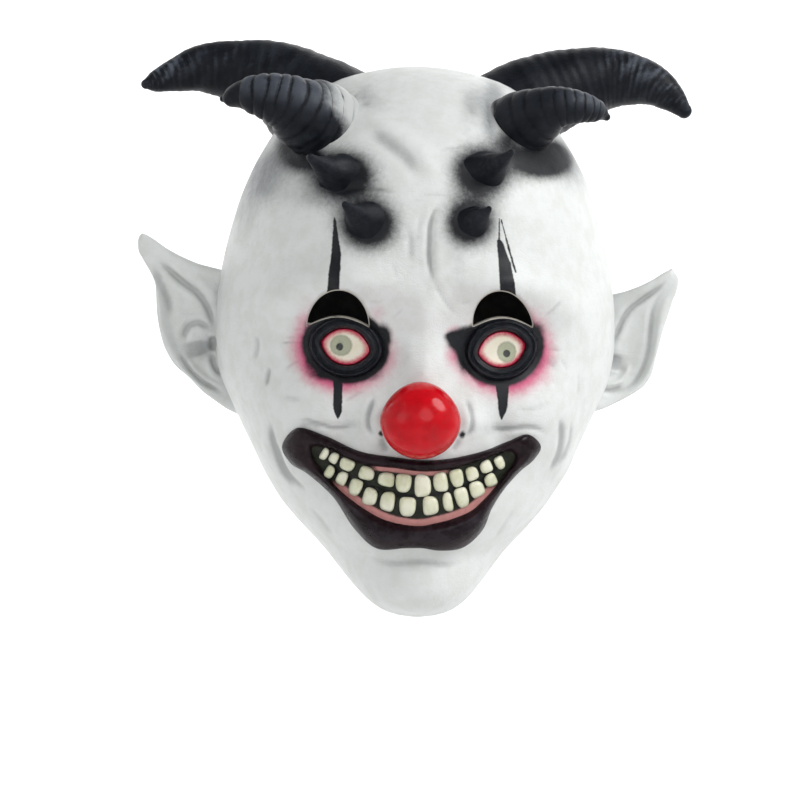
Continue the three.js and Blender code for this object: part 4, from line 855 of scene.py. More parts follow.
def shade_sides(mask, skin, points):
    """Soft grey round the roots of the horns and ears, along the open edge and over the nape:
    painted shade where the horns and ears meet the hood and in the nape.
    """
    gap, _ = distance_to(points[:, 1:], rim_outline(skin)[:-2])
    shade = 0.3 * np.exp(-((gap / 0.007) ** 2)) * (points[:, 2] < -0.1)
    slit = skin.level(0.518)
    for side in (-1, 1):
        root = np.array([(0.004, slit + 0.03), (0.002, slit - 0.026)])
        gap, _ = distance_to(points[:, 1:], root)
        beside = points[:, 0] * side > 0.06
        shade = np.maximum(shade, 0.5 * np.exp(-((gap / 0.009) ** 2)) * beside)
        for (turn, down), root, spread in ((BIG_HORN_SEAT, mask.horns.big_root, 0.013),
                (SMALL_HORN_SEAT, mask.horns.small_root, 0.009)):
            seat = skin.at(side * turn, down)
            gap = np.maximum(np.linalg.norm(points - seat, axis=1) - 0.9 * root, 0.0)
            behind = smoothstep(points[:, 1], -0.06, -0.02)
            shade = np.maximum(shade, 0.5 * np.exp(-((gap / spread) ** 2)) * behind)
    around = np.degrees(np.arctan2(points[:, 0], -points[:, 1])) % 360.0
    flat = np.stack((around, -1000.0 * points[:, 2]), axis=1)
    return np.maximum(shade, soft_spot_cover(flat * MM, BACK_SHADE_SPOTS))


def paint_round_eyes(mask, skin, flat):
    """The soft black and the pink glow that surround the lids."""
    black, pink = np.zeros(len(flat)), np.zeros(len(flat))
    for eye in EYES:
        sizes = mask.eyes
        lid = almond(mask, skin, eye, sizes.lid_width, sizes.lid_height,
            np.linspace(0, 2 * math.pi, 72), 0.1)
        x, z = eye_middle(mask, skin, eye)
        near = np.nonzero(np.linalg.norm(flat - [x, z], axis=1) < 0.05)[0]
        gap, _ = distance_to(flat[near], lid)
        gap = np.where(inside(flat[near], lid[:-1]), 0.0, gap)
        outward = smoothstep((flat[near, 0] - x) * eye[1], -0.016, 0.012)
        below = smoothstep(z - flat[near, 1], -0.014, 0.012)
        black[near] = np.maximum(black[near], np.exp(-((gap / 0.0033) ** 2)))
        glow = np.exp(-((gap / 0.0095) ** 2)) * (0.3 + 0.42 * outward + 0.4 * below)
        pink[near] = np.maximum(pink[near], glow)
    return black, pink


def make_slot_bead(mask, skin, name, outline):
    """The slightly rounded edge that the cut latex shows round a slot."""
    line = skin.on_face(outline[:, 0], outline[:, 1])
    path = path_through(line, closed=True)
    radius = 0.0005

    def place(u, v):
        centre = path(u % 1.0)
        along = path((u + 1e-3) % 1.0) - path((u - 1e-3) % 1.0)
        along /= np.linalg.norm(along, axis=1, keepdims=True)
        back = np.array([0.0, 1.0, 0.0]) - along * along[:, 1:2]
        back /= np.linalg.norm(back, axis=1, keepdims=True)
        aside = np.cross(along, back)
        angle = 2 * math.pi * v
        return (centre + back * (0.0011 + 1.5 * radius * np.cos(angle))[:, None]
            + aside * (radius * np.sin(angle))[:, None])

    bm = sheet(150, 8, place)
    finished(bm, f"slot_edge_{name}", [cut_latex(mask)], "white_latex")


# --- Horns and spikes ---


def horn_run(rows, side, seat, reach, root):
    """The middle line of a horn and its radius, each by a share from 0 to 1."""
    rows = np.asarray(rows)
    path = path_through(seat + rows[:, :3] * [side * reach, reach, reach])
    radius = steady_curve(np.linspace(0, 1, len(rows)), rows[:, 3] * root)
    return path, radius


def swept_horn(skin, path, radius, columns, rows, ripple):
    """A round horn from its start inside the wall to a rounded tip. The ripple gives each corner
    a share by which its radius grows."""
    tip = float(radius(np.array([1.0]))[0])

    def place(u, v):
        over = np.clip((v - 0.96) / 0.04, 0.0, 1.0)
        t = np.clip(v / 0.96, 0.0, 1.0)
        centre = path(t)
        along = path(np.minimum(t + 1e-3, 1.0)) - path(np.maximum(t - 1e-3, 0.0))
        along /= np.linalg.norm(along, axis=1, keepdims=True)
        back = np.array([0.0, 1.0, 0.0]) - along * along[:, 1:2]
        back /= np.linalg.norm(back, axis=1, keepdims=True)
        up = np.cross(along, back)
        angle = 2 * math.pi * u
        thick = radius(t) * (1 + ripple(t, angle, centre)) * np.sqrt(1 - over**2)
        thick = np.where(v <= 1e-6, 0.0, thick)
        around = back * np.cos(angle)[:, None] + up * np.sin(angle)[:, None]
        points = centre + along * (over * tip)[:, None] + around * thick[:, None]
        return skin.seated(points)

    return sheet(columns, rows, place)


def make_big_horns(mask):
    skin = Skin(mask)
    for name, side, rows in (("left", -1, BIG_HORN_LEFT), ("right", 1, BIG_HORN_RIGHT)):
        turn, down = BIG_HORN_SEAT
        seat = skin.at(side * turn, down)
        path, radius = horn_run(rows, side, seat, mask.horns.big_reach, mask.horns.big_root)
        run = mask.horns.big_reach * 1.35

        def ripple(t, angle, centre):
            wave = 2 * math.pi * t * run / 0.0042
            uneven = 0.7 * np.sin(2 * angle + 9 * t) + 0.5 * np.sin(3 * angle - 21 * t + side)
            fine = np.sin(wave + uneven) + 0.55 * np.sin(0.63 * wave + 1.6 * uneven + 2)
            lumps = np.sin(3 * angle + 17 * t) * np.sin(31 * t + 2 * angle)
            body = smoothstep(t, 0.0, 0.2) * (1 - smoothstep(t, 0.93, 1.0))
            return (0.006 * fine + 0.012 * lumps) * body

        bm = swept_horn(skin, path, radius, 72, 220, ripple)
        points = corners(bm)
        t = nearest_share(path, points)
        angle = horn_angle(path, t, points)
        ridge = 0.45 + 0.2 * ripple(t, angle, points) / 0.009
        upper = smoothstep((points[:, 2] - path(t)[:, 2]) / MM, -4, 6)
        piece = finished(bm, f"curved_horn_{name}", [horn_latex(mask)], "black_latex",
            f"big_horn_{name}")
        painted(piece, ridge=ridge, worn=horn_wear_and_sheen(name, points, upper),
            bare=np.zeros(len(points)))


def nearest_share(path, points):
    t = np.linspace(0, 1, 160)
    line = path(t)
    gap = np.linalg.norm(points[:, None, :] - line[None], axis=2)
    return t[gap.argmin(1)]


def horn_angle(path, t, points):
    """The angle round a horn, as its mesh is laid out."""
    along = path(np.minimum(t + 1e-3, 1.0)) - path(np.maximum(t - 1e-3, 0.0))
    along /= np.linalg.norm(along, axis=1, keepdims=True)
    back = np.array([0.0, 1.0, 0.0]) - along * along[:, 1:2]
    back /= np.linalg.norm(back, axis=1, keepdims=True)
    up = np.cross(along, back)
    offset = points - path(t)
    return np.arctan2((offset * up).sum(1), (offset * back).sum(1))


def horn_wear_and_sheen(name, points, upper):
    """Where the big horns' paint is rubbed grey, towards the tips and on the upper side; the upper
    side's grey is a painted highlight.
    """
    x = points[:, 0] / MM
    if name == "right":
        return 0.06 + 0.75 * smoothstep(x, 80, 120) * (0.1 + 0.9 * upper)
    return 0.08 + 0.25 * smoothstep(-x, 60, 110) * upper + 0.85 * smoothstep(-x, 120, 136) * upper


def make_small_horns(mask):
    skin = Skin(mask)
    for name, side, rows in (("left", -1, SMALL_HORN_LEFT), ("right", 1, SMALL_HORN_RIGHT)):
        turn, down = SMALL_HORN_SEAT
        seat = skin.at(side * turn, down)
        path, radius = horn_run(rows, side, seat, mask.horns.small_reach, mask.horns.small_root)
        share_at = np.linspace(0, 1, 400)
        line = path(share_at)
        cuts = np.array([share_at[np.abs(line[:, 0] - x * MM).argmin()]
            for x in SMALL_HORN_GROOVES[name]])
        depth = mask.horns.groove * (0.8 if name == "left" else 0.42)

        def ring_share(t):
            """0 in a groove, 1 on the crest of a ring."""
            index = np.clip(np.searchsorted(cuts, t), 1, len(cuts) - 1)
            low, high = cuts[index - 1], cuts[index]
            return np.clip((t - low) / (high - low), 0.0, 1.0)

        def ripple(t, angle, centre):
            swing = t + 0.006 * np.sin(angle + 11 * t) + 0.004 * np.sin(3 * angle + 40 * t)
            crest = np.sqrt(np.clip(np.sin(math.pi * ring_share(swing)), 0.0, 1.0))
            body = smoothstep(t, cuts[0] - 0.05, cuts[0])
            thick = np.maximum(radius(t), 0.003)
            return (crest - 0.62) * depth * 1.25 / thick * body

        bm = swept_horn(skin, path, radius, 64, 230, ripple)
        points = corners(bm)
        t = nearest_share(path, points)
        angle = horn_angle(path, t, points)
        thick = np.maximum(radius(t), 0.003)
        crest = np.clip(ripple(t, angle, points) * thick / (1.25 * depth) + 0.62, 0.0, 1.0)
        x, z = np.abs(points[:, 0]) / MM, points[:, 2] / MM
        middle = path(t)[:, 2] / MM
        above = smoothstep(z - middle, -5, 7)
        if name == "left":
            white = 1 - smoothstep(x, 30 + 3 * above, 49 + 14 * above)
        else:
            white = 0.75 * (1 - smoothstep(x, 33, 38))
        piece = finished(bm, f"ringed_horn_{name}", [horn_latex(mask)], "black_latex",
            f"small_horn_{name}")
        # Dry brush on the ring crests, kept mostly to the upper side as a painted highlight.
        if name == "left":
            worn = 0.04 + 0.6 * above
        else:
            worn = 0.02 + above * (0.08 + 0.7 * smoothstep(x, 62, 90))
        painted(piece, ridge=crest, worn=worn, bare=white)


def make_spikes(mask):
    skin = Skin(mask)
    horns = mask.horns
    for name, across, down, root, stand, out, up in SPIKES:
        foot = skin.on_face(across * skin.half_width, skin.level(down))
        stand = stand * horns.spike_stand
        tip = foot + np.array([out * stand, -stand, up * stand])
        axis = (tip - foot) / np.linalg.norm(tip - foot)
        heel = foot - axis * 0.004
        outward = foot * [1, 1, 0]
        outward /= np.linalg.norm(outward)
        sideways = np.cross(outward, [0, 0, 1])
        sideways /= np.linalg.norm(sideways)
        rise = np.cross(sideways, outward)
        run = np.linalg.norm(tip - heel)
        girth = steady_curve([at for at, _ in SPIKE_GIRTH] + [1.0],
            [thick for _, thick in SPIKE_GIRTH] + [0.07])

        def place(u, v):
            t = np.clip(v, 0.0, 1.0)
            angle = 2 * math.pi * u
            lumps = 1 + 0.05 * np.sin(3 * angle + 7 * t) * (1 - t)
            lumps = lumps + 0.03 * np.sin(5 * angle - 9 * t) * (1 - t)
            flare = 0.1 * np.exp(-((t / 0.2) ** 2))
            thick = (girth(t) * lumps + flare) * root * horns.spike_root
            thick = np.where((v <= 1e-6) | (v >= 1 - 1e-6), 0.0, thick)
            thick = thick * np.sqrt(np.clip((1 - t) / 0.04, 0.0, 1.0))
            bend = (t**2 * (1 - t))[:, None] * np.array([0, 0, -0.004])
            centre = heel + axis * (t * run)[:, None] + bend
            around = sideways * np.cos(angle)[:, None] + rise * np.sin(angle)[:, None]
            return skin.seated(centre + around * thick[:, None])

        bm = sheet(48, 90, place)
        points = corners(bm)
        height = np.clip(((points - heel) @ axis) / run, 0, 1)
        facing = smoothstep((points - heel) @ rise / horns.spike_root, -0.5, 0.6)
        piece = finished(bm, f"brow_spike_{name}", [horn_latex(mask)], "black_latex",
            f"spike_{name}")
        # Grey towards the tip, and on the upper side of the base a painted highlight.
        ridge = 0.25 + 0.5 * height
        painted(piece, ridge=ridge, worn=0.06 + 0.3 * facing * (1 - height),
            bare=np.zeros(len(points)))


# --- Ears ---


def round_ends(value, share_of_run):
    """1 along a run from 0 to 1, and down to 0 in a quarter circle at both of its ends."""
    end = np.clip(np.minimum(value, 1 - value) / share_of_run, 0.0, 1.0)
    return np.sqrt(1 - (1 - end) ** 2)


def make_ears(mask):
    skin = Skin(mask)
    sizes = mask.ears
    rises = [row[0] for row in EAR_SLICES]
    root_of, left_rim, right_rim, cup_of, thick_of = (steady_curve(rises,
        [row[k] for row in EAR_SLICES]) for k in range(1, 6))
    rims = {2: left_rim, 3: right_rim}
    across = [row[0] for row in EAR_ACROSS]
    hollow_of = steady_curve(across, [row[1] for row in EAR_ACROSS])
    body_of = steady_curve(across, [row[2] for row in EAR_ACROSS])
    for name, side, column, reach, height, lobe in EARS:
        reach, tall = reach * sizes.reach, height * sizes.height
        foot = sizes.seat * skin.half_width

        def place(u, v):
            rise = u * rises[-1]
            share_out = np.where(v < 0.62, v / 0.62, (1 - v) / 0.38)
            share_out = 1 - (1 - share_out) ** 1.5
            root, rim = root_of(rise), rims[column](rise)
            end = round_ends(u, 0.05)
            middle = (root + rim) / 2
            root, rim = middle + (root - middle) * end, middle + (rim - middle) * end
            x = side * (foot + (root + (rim - root) * share_out) * reach)
            z = skin.level(lobe) + rise * tall
            face = sizes.front + cup_of(rise) * sizes.cup * hollow_of(share_out)
            face = face + sizes.sweep * share_out
            cut, _ = grooves(np.stack((x, z), axis=1), EAR_FOLDS[name])
            rounded = np.sqrt(1 - np.clip((share_out - 0.88) / 0.12, 0.0, 1.0) ** 2)
            body = body_of(share_out) * thick_of(rise) * sizes.thickness
            front = face + np.minimum(cut * end, 0.6 * body) + 0.5 * body * (1 - rounded)
            behind = face + body - 0.5 * body * (1 - rounded)
            inner = face + 0.5 * body
            y = np.where(v < 0.62, front, behind)
            y = inner + (y - inner) * end
            return skin.seated(np.stack((x, y, z), axis=1))

        bm = sheet(170, 130, place)
        points = corners(bm)
        flat = points[:, [0, 2]]
        # Painted shade in the ear's grooves and in its bowl.
        _, crease_shade = grooves(flat, EAR_FOLDS[name])
        bm.normal_update()
        forward = smoothstep(-np.array([vert.normal.y for vert in bm.verts]), -0.1, 0.35)
        crease_shade = 0.6 * crease_shade * forward
        bowl_shade = ((-111, -149, 7, 8, 0.4),) if name == "left" else ((106, -152, 5, 8, 0.4),)
        inner = soft_spot_cover(flat, bowl_shade) * forward
        piece = finished(bm, f"folded_ear_{name}", [white_latex(mask)], "white_latex",
            f"ear_{name}")
        nothing = np.zeros(len(points))
        painted(piece, shade=inner, blush=nothing, soot=nothing, line=crease_shade,
            bare=np.ones(len(points)))


# --- Nose, eyes and mouth ---


def make_nose(mask):
    skin = Skin(mask)
    sizes = mask.nose
    z = skin.level(sizes.down)
    middle = np.array([sizes.shift, float(skin.on_face(sizes.shift, z)[1]) - sizes.stand, z])
    bm = bmesh.new()
    bmesh.ops.create_uvsphere(bm, u_segments=96, v_segments=64, radius=1.0)
    ball = corners(bm)
    height = ball[:, 2]
    narrow = 1 - 0.14 * np.maximum(0, height) ** 1.3
    ball[:, 0] *= 1.045 * narrow
    ball[:, 1] *= 0.97
    points = skin.seated(middle + ball * sizes.radius)
    put(bm.verts, points)
    bmesh.ops.recalc_face_normals(bm, faces=bm.faces)
    height = skin.nearest(points)[2]
    piece = finished(bm, "glossy_nose", [nose_gloss(mask)], "red_paint", "nose_ball")
    painted(piece, contact=1 - smoothstep(height, 0.0006, 0.004))


def almond(mask, skin, eye, width, height, angle, point):
    """The almond-shaped edge round an eye, seen from the front."""
    x, z = eye_middle(mask, skin, eye)
    across = width / 2 * np.cos(angle)
    up = height / 2 * np.sin(angle) * (1 - point * np.abs(np.cos(angle)) ** 3)
    lean = -eye[3]
    return np.stack((x + across * math.cos(lean) - up * math.sin(lean),
        z + across * math.sin(lean) + up * math.cos(lean)), axis=1)


def face_ring(skin, outer, inner, lift, profile, columns, rows, full=None, under=None):
    """A closed ring that sits on the face between an outer and an inner edge."""
    rise_of = steady_curve([at for at, _, _ in profile], [rise for _, _, rise in profile])
    share_of = steady_curve([at for at, _, _ in profile], [part for _, part, _ in profile])

    def place(u, v):
        start, end = outer(u % 1.0), inner(u % 1.0)
        flat = start + (end - start) * share_of(v)[:, None]
        if under is not None:
            flat = under(flat)
        fullness = 1.0 if full is None else full(u % 1.0)
        rise = rise_of(v) * lift
        rise = np.where(rise > 0, rise * fullness, rise)
        return skin.on_face(flat[:, 0], flat[:, 1], rise)

    return sheet(columns, rows, place)


# Round a lid's or lip's section: place, share from the outer to the inner edge, rise. Both ends
# are the same place, inside the wall.
LID_PROFILE = ((0.0, 0.5, -0.22), (0.1, 0.0, -0.22), (0.16, 0.0, 0.12), (0.24, 0.1, 0.5),
    (0.34, 0.27, 0.78), (0.42, 0.38, 0.62), (0.5, 0.48, 0.7), (0.6, 0.66, 1.0), (0.7, 0.84, 0.86),
    (0.8, 0.97, 0.5), (0.88, 1.0, 0.1), (0.93, 1.0, -0.22), (1.0, 0.5, -0.22))
LIP_PROFILE = ((0.0, 0.5, -0.16), (0.1, 0.0, -0.16), (0.16, 0.0, 0.12), (0.26, 0.1, 0.5),
    (0.36, 0.25, 0.78), (0.5, 0.5, 1.0), (0.62, 0.7, 0.95), (0.74, 0.88, 0.66), (0.84, 1.0, 0.2),
    (0.92, 1.0, -0.16), (1.0, 0.5, -0.16))


def make_eyes(mask):
    skin = Skin(mask)
    sizes = mask.eyes
    for eye in EYES:
        name = eye[0]
        outline = slot_outline(mask, skin, eye)
        left, right = outline[:, 0].min(), outline[:, 0].max()
        sill = skin.level(sizes.down) + eye[5] * sizes.lid_height

        def under_slot(flat):
            """Keeps the lid below the slot's lower edge."""
            part = np.clip((flat[:, 0] - left) / (right - left), 0, 1)
            edge = sill + sizes.slot_arch * np.sin(math.pi * part) - 0.0007
            covers = (flat[:, 0] > left - 0.001) & (flat[:, 0] < right + 0.001)
            z = np.where(covers, np.minimum(flat[:, 1], edge), flat[:, 1])
            return np.stack((flat[:, 0], z), axis=1)

        def outer(u):
            return almond(mask, skin, eye, sizes.lid_width, sizes.lid_height, 2 * math.pi * u,
                0.1)

        def inner(u):
            return almond(mask, skin, eye, sizes.opening_width, sizes.opening_height,
                2 * math.pi * u, 0.35)

        bm = face_ring(skin, outer, inner, sizes.lid_lift, LID_PROFILE, 132, 44, under=under_slot)
        points = corners(bm)
        piece = finished(bm, f"painted_lid_{name}", [lid_latex(mask)], "black_latex",
            f"eye_rim_{name}")
        height = skin.nearest(points)[2]
        painted(piece, ridge=np.clip(height / sizes.lid_lift, 0, 1),
            worn=np.full(len(points), 0.3), bare=np.zeros(len(points)))
        make_eyeball(mask, skin, eye)


def make_eyeball(mask, skin, eye):
    sizes = mask.eyes
    width, height = sizes.opening_width - 0.0004, sizes.opening_height - 0.0004

    def place(u, v):
        reach = np.clip(v / 0.84, 0, 1)
        reach = np.where(v > 0.9, (1 - v) / 0.1, reach)
        x, z = eye_middle(mask, skin, eye)
        edge = almond(mask, skin, eye, width, height, 2 * math.pi * u, 0.35)
        flat = np.array([x, z]) + (edge - [x, z]) * reach[:, None]
        dome = sizes.eyeball_lift * (0.3 + 0.7 * np.sqrt(1 - 0.98 * reach**2))
        lift = np.where(v > 0.87, -skin.sink, dome)
        return skin.on_face(flat[:, 0], flat[:, 1], lift)

    bm = sheet(96, 50, place)
    points = corners(bm)
    x, z = eye_middle(mask, skin, eye)
    offset = points[:, [0, 2]] - [x, z]
    angle = np.arctan2(offset[:, 1] / height, offset[:, 0] / width) + eye[3]
    rim = np.linalg.norm(almond(mask, skin, eye, width, height, angle, 0.35) - [x, z], axis=1)
    piece = finished(bm, f"painted_eye_{eye[0]}", [eye_gloss(mask, eye[0])], "eye_paint",
        f"eyeball_{eye[0]}")
    painted(piece, edge=smoothstep(np.linalg.norm(offset, axis=1) / rim, 0.55, 1.0))


def lip_edges(mask, skin):
    """The lips' outer and inner edge seen from the front, and how full they are, by a share."""
    sizes = mask.mouth
    rows = np.asarray(LIPS)
    scale = np.array([sizes.half_width, sizes.half_height])
    middle = np.array([sizes.shift, skin.level(sizes.down)])
    outer = path_through(middle + rows[:, 0:2] * scale, closed=True)
    inner = path_through(middle + rows[:, 2:4] * scale, closed=True)
    full = steady_curve(np.arange(len(rows) + 1) / len(rows), list(rows[:, 4]) + [rows[0, 4]])
    return outer, inner, full


def make_lips(mask):
    skin = Skin(mask)
    outer, inner, full = lip_edges(mask, skin)
    bm = face_ring(skin, outer, inner, mask.mouth.lip_lift, LIP_PROFILE, 260, 44, full=full)
    points = corners(bm)
    height = skin.nearest(points)[2]
    piece = finished(bm, "dark_lips", [lip_gloss(mask)], "lip_paint", "lips")
    painted(piece, crown=np.clip(height / mask.mouth.lip_lift, 0, 1))


def make_gums(mask):
    skin = Skin(mask)
    _, inner, _ = lip_edges(mask, skin)
    lift = mask.mouth.gum_lift
    top = path_through(inner(np.linspace(0, 0.42, 50)))
    bottom = path_through(inner(np.linspace(1.0, 0.42, 50)))

    def place(u, v):
        """v runs up the front (to 0.7) and down behind."""
        front = np.clip(v / 0.7, 0, 1)
        rise = np.where(v > 0.7, (1 - v) / 0.3, front)
        low, high = bottom(u), top(u)
        spill = 0.0016 * np.sin(math.pi * u) ** 0.25
        reach = high - low
        size = np.maximum(np.linalg.norm(reach, axis=1, keepdims=True), 1e-6)
        low, high = low - reach / size * spill[:, None], high + reach / size * spill[:, None]
        flat = low + (high - low) * rise[:, None]
        edge = np.clip(np.minimum(front, 1 - front) / 0.02, 0, 1)
        height = np.where(v > 0.7, -skin.sink, -skin.sink + (lift + skin.sink) * edge)
        height = np.where((u < 1e-6) | (u > 1 - 1e-6), -skin.sink, height)
        return skin.on_face(flat[:, 0], flat[:, 1], height)

    bm = sheet(190, 150, place)
    points = corners(bm)
    flat = points[:, [0, 2]]
    gap, along = distance_to(flat, path_through(np.asarray(TEETH_GAP_SHADE) * MM)(np.linspace(0, 1, 40)))
    piece = finished(bm, "painted_gums", [gum_latex(mask)], "gum_paint", "gums")
    low, _ = distance_to(flat, bottom(np.linspace(0, 1, 60)))
    high, _ = distance_to(flat, top(np.linspace(0, 1, 60)))
    lower = (1 - smoothstep(low, 0.0026, 0.0046)) * smoothstep(-flat[:, 1], 0.212, 0.219)
    middle = 1 - smoothstep(np.abs(flat[:, 0] + 0.006), 0.014, 0.024)
    pink = np.maximum(lower, (1 - smoothstep(high, 0.0012, 0.003)) * middle)
    painted(piece, pink=pink, gap=np.exp(-((gap / 0.0018) ** 2)))


def make_teeth(mask):
    skin = Skin(mask)
    sizes = mask.mouth
    material = tooth_paint(mask)
    for row_name, table in (("upper", UPPER_TEETH), ("lower", LOWER_TEETH)):
        for k, (x, z, wide, high) in enumerate(table, start=1):
            bm = bmesh.new()
            bmesh.ops.create_uvsphere(bm, u_segments=28, v_segments=18, radius=1.0)
            ball = corners(bm)
            round_x = np.sign(ball[:, 0]) * np.abs(ball[:, 0]) ** 0.68
            round_z = np.sign(ball[:, 1]) * np.abs(ball[:, 1]) ** 0.68
            uneven = 1 + 0.05 * np.sin(3 * np.arctan2(ball[:, 1], ball[:, 0]) + 2.1 * k)
            across = 1.1 * round_x * uneven * wide * sizes.tooth_width / 2
            up = 1.06 * round_z * uneven * high * sizes.tooth_height / 2
            lean = sizes.tooth_lean * x * sizes.half_width
            centre = (sizes.shift + x * sizes.half_width,
                skin.level(sizes.down) + z * sizes.half_height)
            flat_x = centre[0] + across * math.cos(lean) - up * math.sin(lean)
            flat_z = centre[1] + across * math.sin(lean) + up * math.cos(lean)
            bulge = np.sign(ball[:, 2]) * np.abs(ball[:, 2]) ** 0.7
            lift = sizes.gum_lift - 0.0006 + np.where(bulge > 0,
                (0.8 * sizes.tooth_lift + 0.0009) * bulge, 0.0009 * bulge)
            points = skin.on_face(flat_x, flat_z, lift)
            put(bm.verts, points)
            bmesh.ops.recalc_face_normals(bm, faces=bm.faces)
            piece = finished(bm, f"painted_tooth_{row_name}_{k:02d}", [material], "tooth_paint",
                f"tooth_{row_name}_{k:02d}")
            painted(piece, crown=np.clip(ball[:, 2], 0, 1))


# --- Materials ---


class NodeBench:
    """Places and joins the nodes of one material or group."""

    def __init__(self, tree):
        self.tree = tree

    def add(self, kind, **settings):
        node = self.tree.nodes.new(kind)
        for name, value in settings.items():
            setattr(node, name, value)
        return node

    def feed(self, socket, value):
        if isinstance(value, bpy.types.NodeSocket):
            self.tree.links.new(value, socket)
        elif value is not None:
            socket.default_value = value

    def math(self, operation, first, second=None, third=None, clamp=False):
        node = self.add("ShaderNodeMath", operation=operation, use_clamp=clamp)
        for socket, value in zip(node.inputs, (first, second, third)):
            self.feed(socket, value)
        return node.outputs[0]

    def blend(self, factor, under, over):
        node = self.add("ShaderNodeMix", data_type="RGBA")
        self.feed(node.inputs[0], factor)
        for socket, value in zip((node.inputs[6], node.inputs[7]), (under, over)):
            self.feed(socket, value if isinstance(value, bpy.types.NodeSocket) else (*value, 1.0))
        return node.outputs[2]

    def ramp(self, value, low, high, to_low=0.0, to_high=1.0):
        node = self.add("ShaderNodeMapRange", interpolation_type="SMOOTHSTEP")
        for socket, number in zip(node.inputs, (value, low, high, to_low, to_high)):
            self.feed(socket, number)
        return node.outputs[0]

    def noise(self, place, scale, detail=3.0, roughness=0.55, distortion=0.0):
        node = self.add("ShaderNodeTexNoise")
        self.feed(node.inputs["Vector"], place)
        self.feed(node.inputs["Scale"], scale)
        node.inputs["Detail"].default_value = detail
        node.inputs["Roughness"].default_value = roughness
        node.inputs["Distortion"].default_value = distortion
        return node.outputs[0]

    def cells(self, place, scale):
        node = self.add("ShaderNodeTexVoronoi")
        self.feed(node.inputs["Vector"], place)
        self.feed(node.inputs["Scale"], scale)
        return node.outputs["Distance"]

    def stretched(self, place, x, y, z):
        node = self.add("ShaderNodeMapping")
        self.feed(node.inputs["Vector"], place)
        node.inputs["Scale"].default_value = (x, y, z)
        return node.outputs[0]

    def split(self, place):
        node = self.add("ShaderNodeSeparateXYZ")
        self.feed(node.inputs[0], place)
        return node.outputs

    def object_place(self):
        return self.add("ShaderNodeTexCoord").outputs["Object"]

    def cover(self, name):
        return self.add("ShaderNodeAttribute", attribute_name=name).outputs["Fac"]

    def group(self, tree, **values):
        node = self.add("ShaderNodeGroup", node_tree=tree)
        for name, value in values.items():
            self.feed(node.inputs[name.replace("_", " ")], value)
        return node.outputs

    def bump(self, height, strength, distance):
        node = self.add("ShaderNodeBump")
        node.inputs["Strength"].default_value = strength
        node.inputs["Distance"].default_value = distance
        self.feed(node.inputs["Height"], height)
        return node.outputs[0]


def effect(name, inputs, outputs, build):
    """A shader node group, built once. Inputs are names with a default, or VECTOR."""
    tree = bpy.data.node_groups.get(name)
    if tree:
        return tree
    tree = bpy.data.node_groups.new(name, "ShaderNodeTree")
    for label, default in inputs:
        kind = "NodeSocketVector" if default == "VECTOR" else "NodeSocketFloat"
        socket = tree.interface.new_socket(label, in_out="INPUT", socket_type=kind)
        if default != "VECTOR":
            socket.default_value = default
    for label in outputs:
        tree.interface.new_socket(label, in_out="OUTPUT", socket_type="NodeSocketFloat")
    bench = NodeBench(tree)
    given = bench.add("NodeGroupInput").outputs
    made = build(bench, given)
    result = bench.add("NodeGroupOutput")
    for socket, value in zip(result.inputs, made):
        bench.feed(socket, value)
    return tree


def latex_grain():
    """Pores, fine wrinkles and the uneven tone of moulded latex."""

    def build(bench, given):
        place = given["Place"]
        pores = bench.cells(place, given["Pores"])
        pores = bench.ramp(pores, 0.0, 0.5)
        wrinkles = bench.noise(bench.stretched(place, 1.0, 1.0, 2.2), given["Wrinkles"], 4.0, 0.6,
            0.8)
        swell = bench.noise(place, 60.0, 2.0)
        height = bench.math("MULTIPLY_ADD", pores, 0.25, wrinkles)
        height = bench.math("MULTIPLY_ADD", swell, 0.8, height)
        tone = bench.noise(place, 95.0, 5.0, 0.65)
        return height, bench.ramp(tone, 0.35, 0.68)

    return effect("latex grain", (("Place", "VECTOR"), ("Pores", 900.0), ("Wrinkles", 330.0)),
        ("Height", "Tone"), build)


def worn_ridges():
    """Where a dry brush leaves its paint: on raised ridges, in broken streaks."""

    def build(bench, given):
        streaks = bench.noise(given["Place"], 420.0, 5.0, 0.7)
        raised = bench.math("MULTIPLY_ADD", streaks, 0.9, given["Ridge"])
        raised = bench.ramp(raised, 0.75, 1.35)
        return (bench.math("MULTIPLY", raised, given["Amount"], clamp=True),)

    return effect("worn ridges", (("Place", "VECTOR"), ("Ridge", 0.5), ("Amount", 0.5)),
        ("Cover",), build)


def brushed_cover():
    """Breaks a soft cover of paint up at its edge, as sponge and brush do."""

    def build(bench, given):
        speckle = bench.noise(given["Place"], given["Grain"], 5.0, 0.75)
        lifted = bench.math("MULTIPLY_ADD", bench.math("SUBTRACT", speckle, 0.5), given["Break"],
            given["Cover"])
        return (bench.ramp(lifted, given["Low"], given["High"]),)

    return effect("brushed cover", (("Place", "VECTOR"), ("Cover", 0.0), ("Grain", 420.0),
        ("Break", 0.5), ("Low", 0.1), ("High", 0.9)), ("Cover",), build)


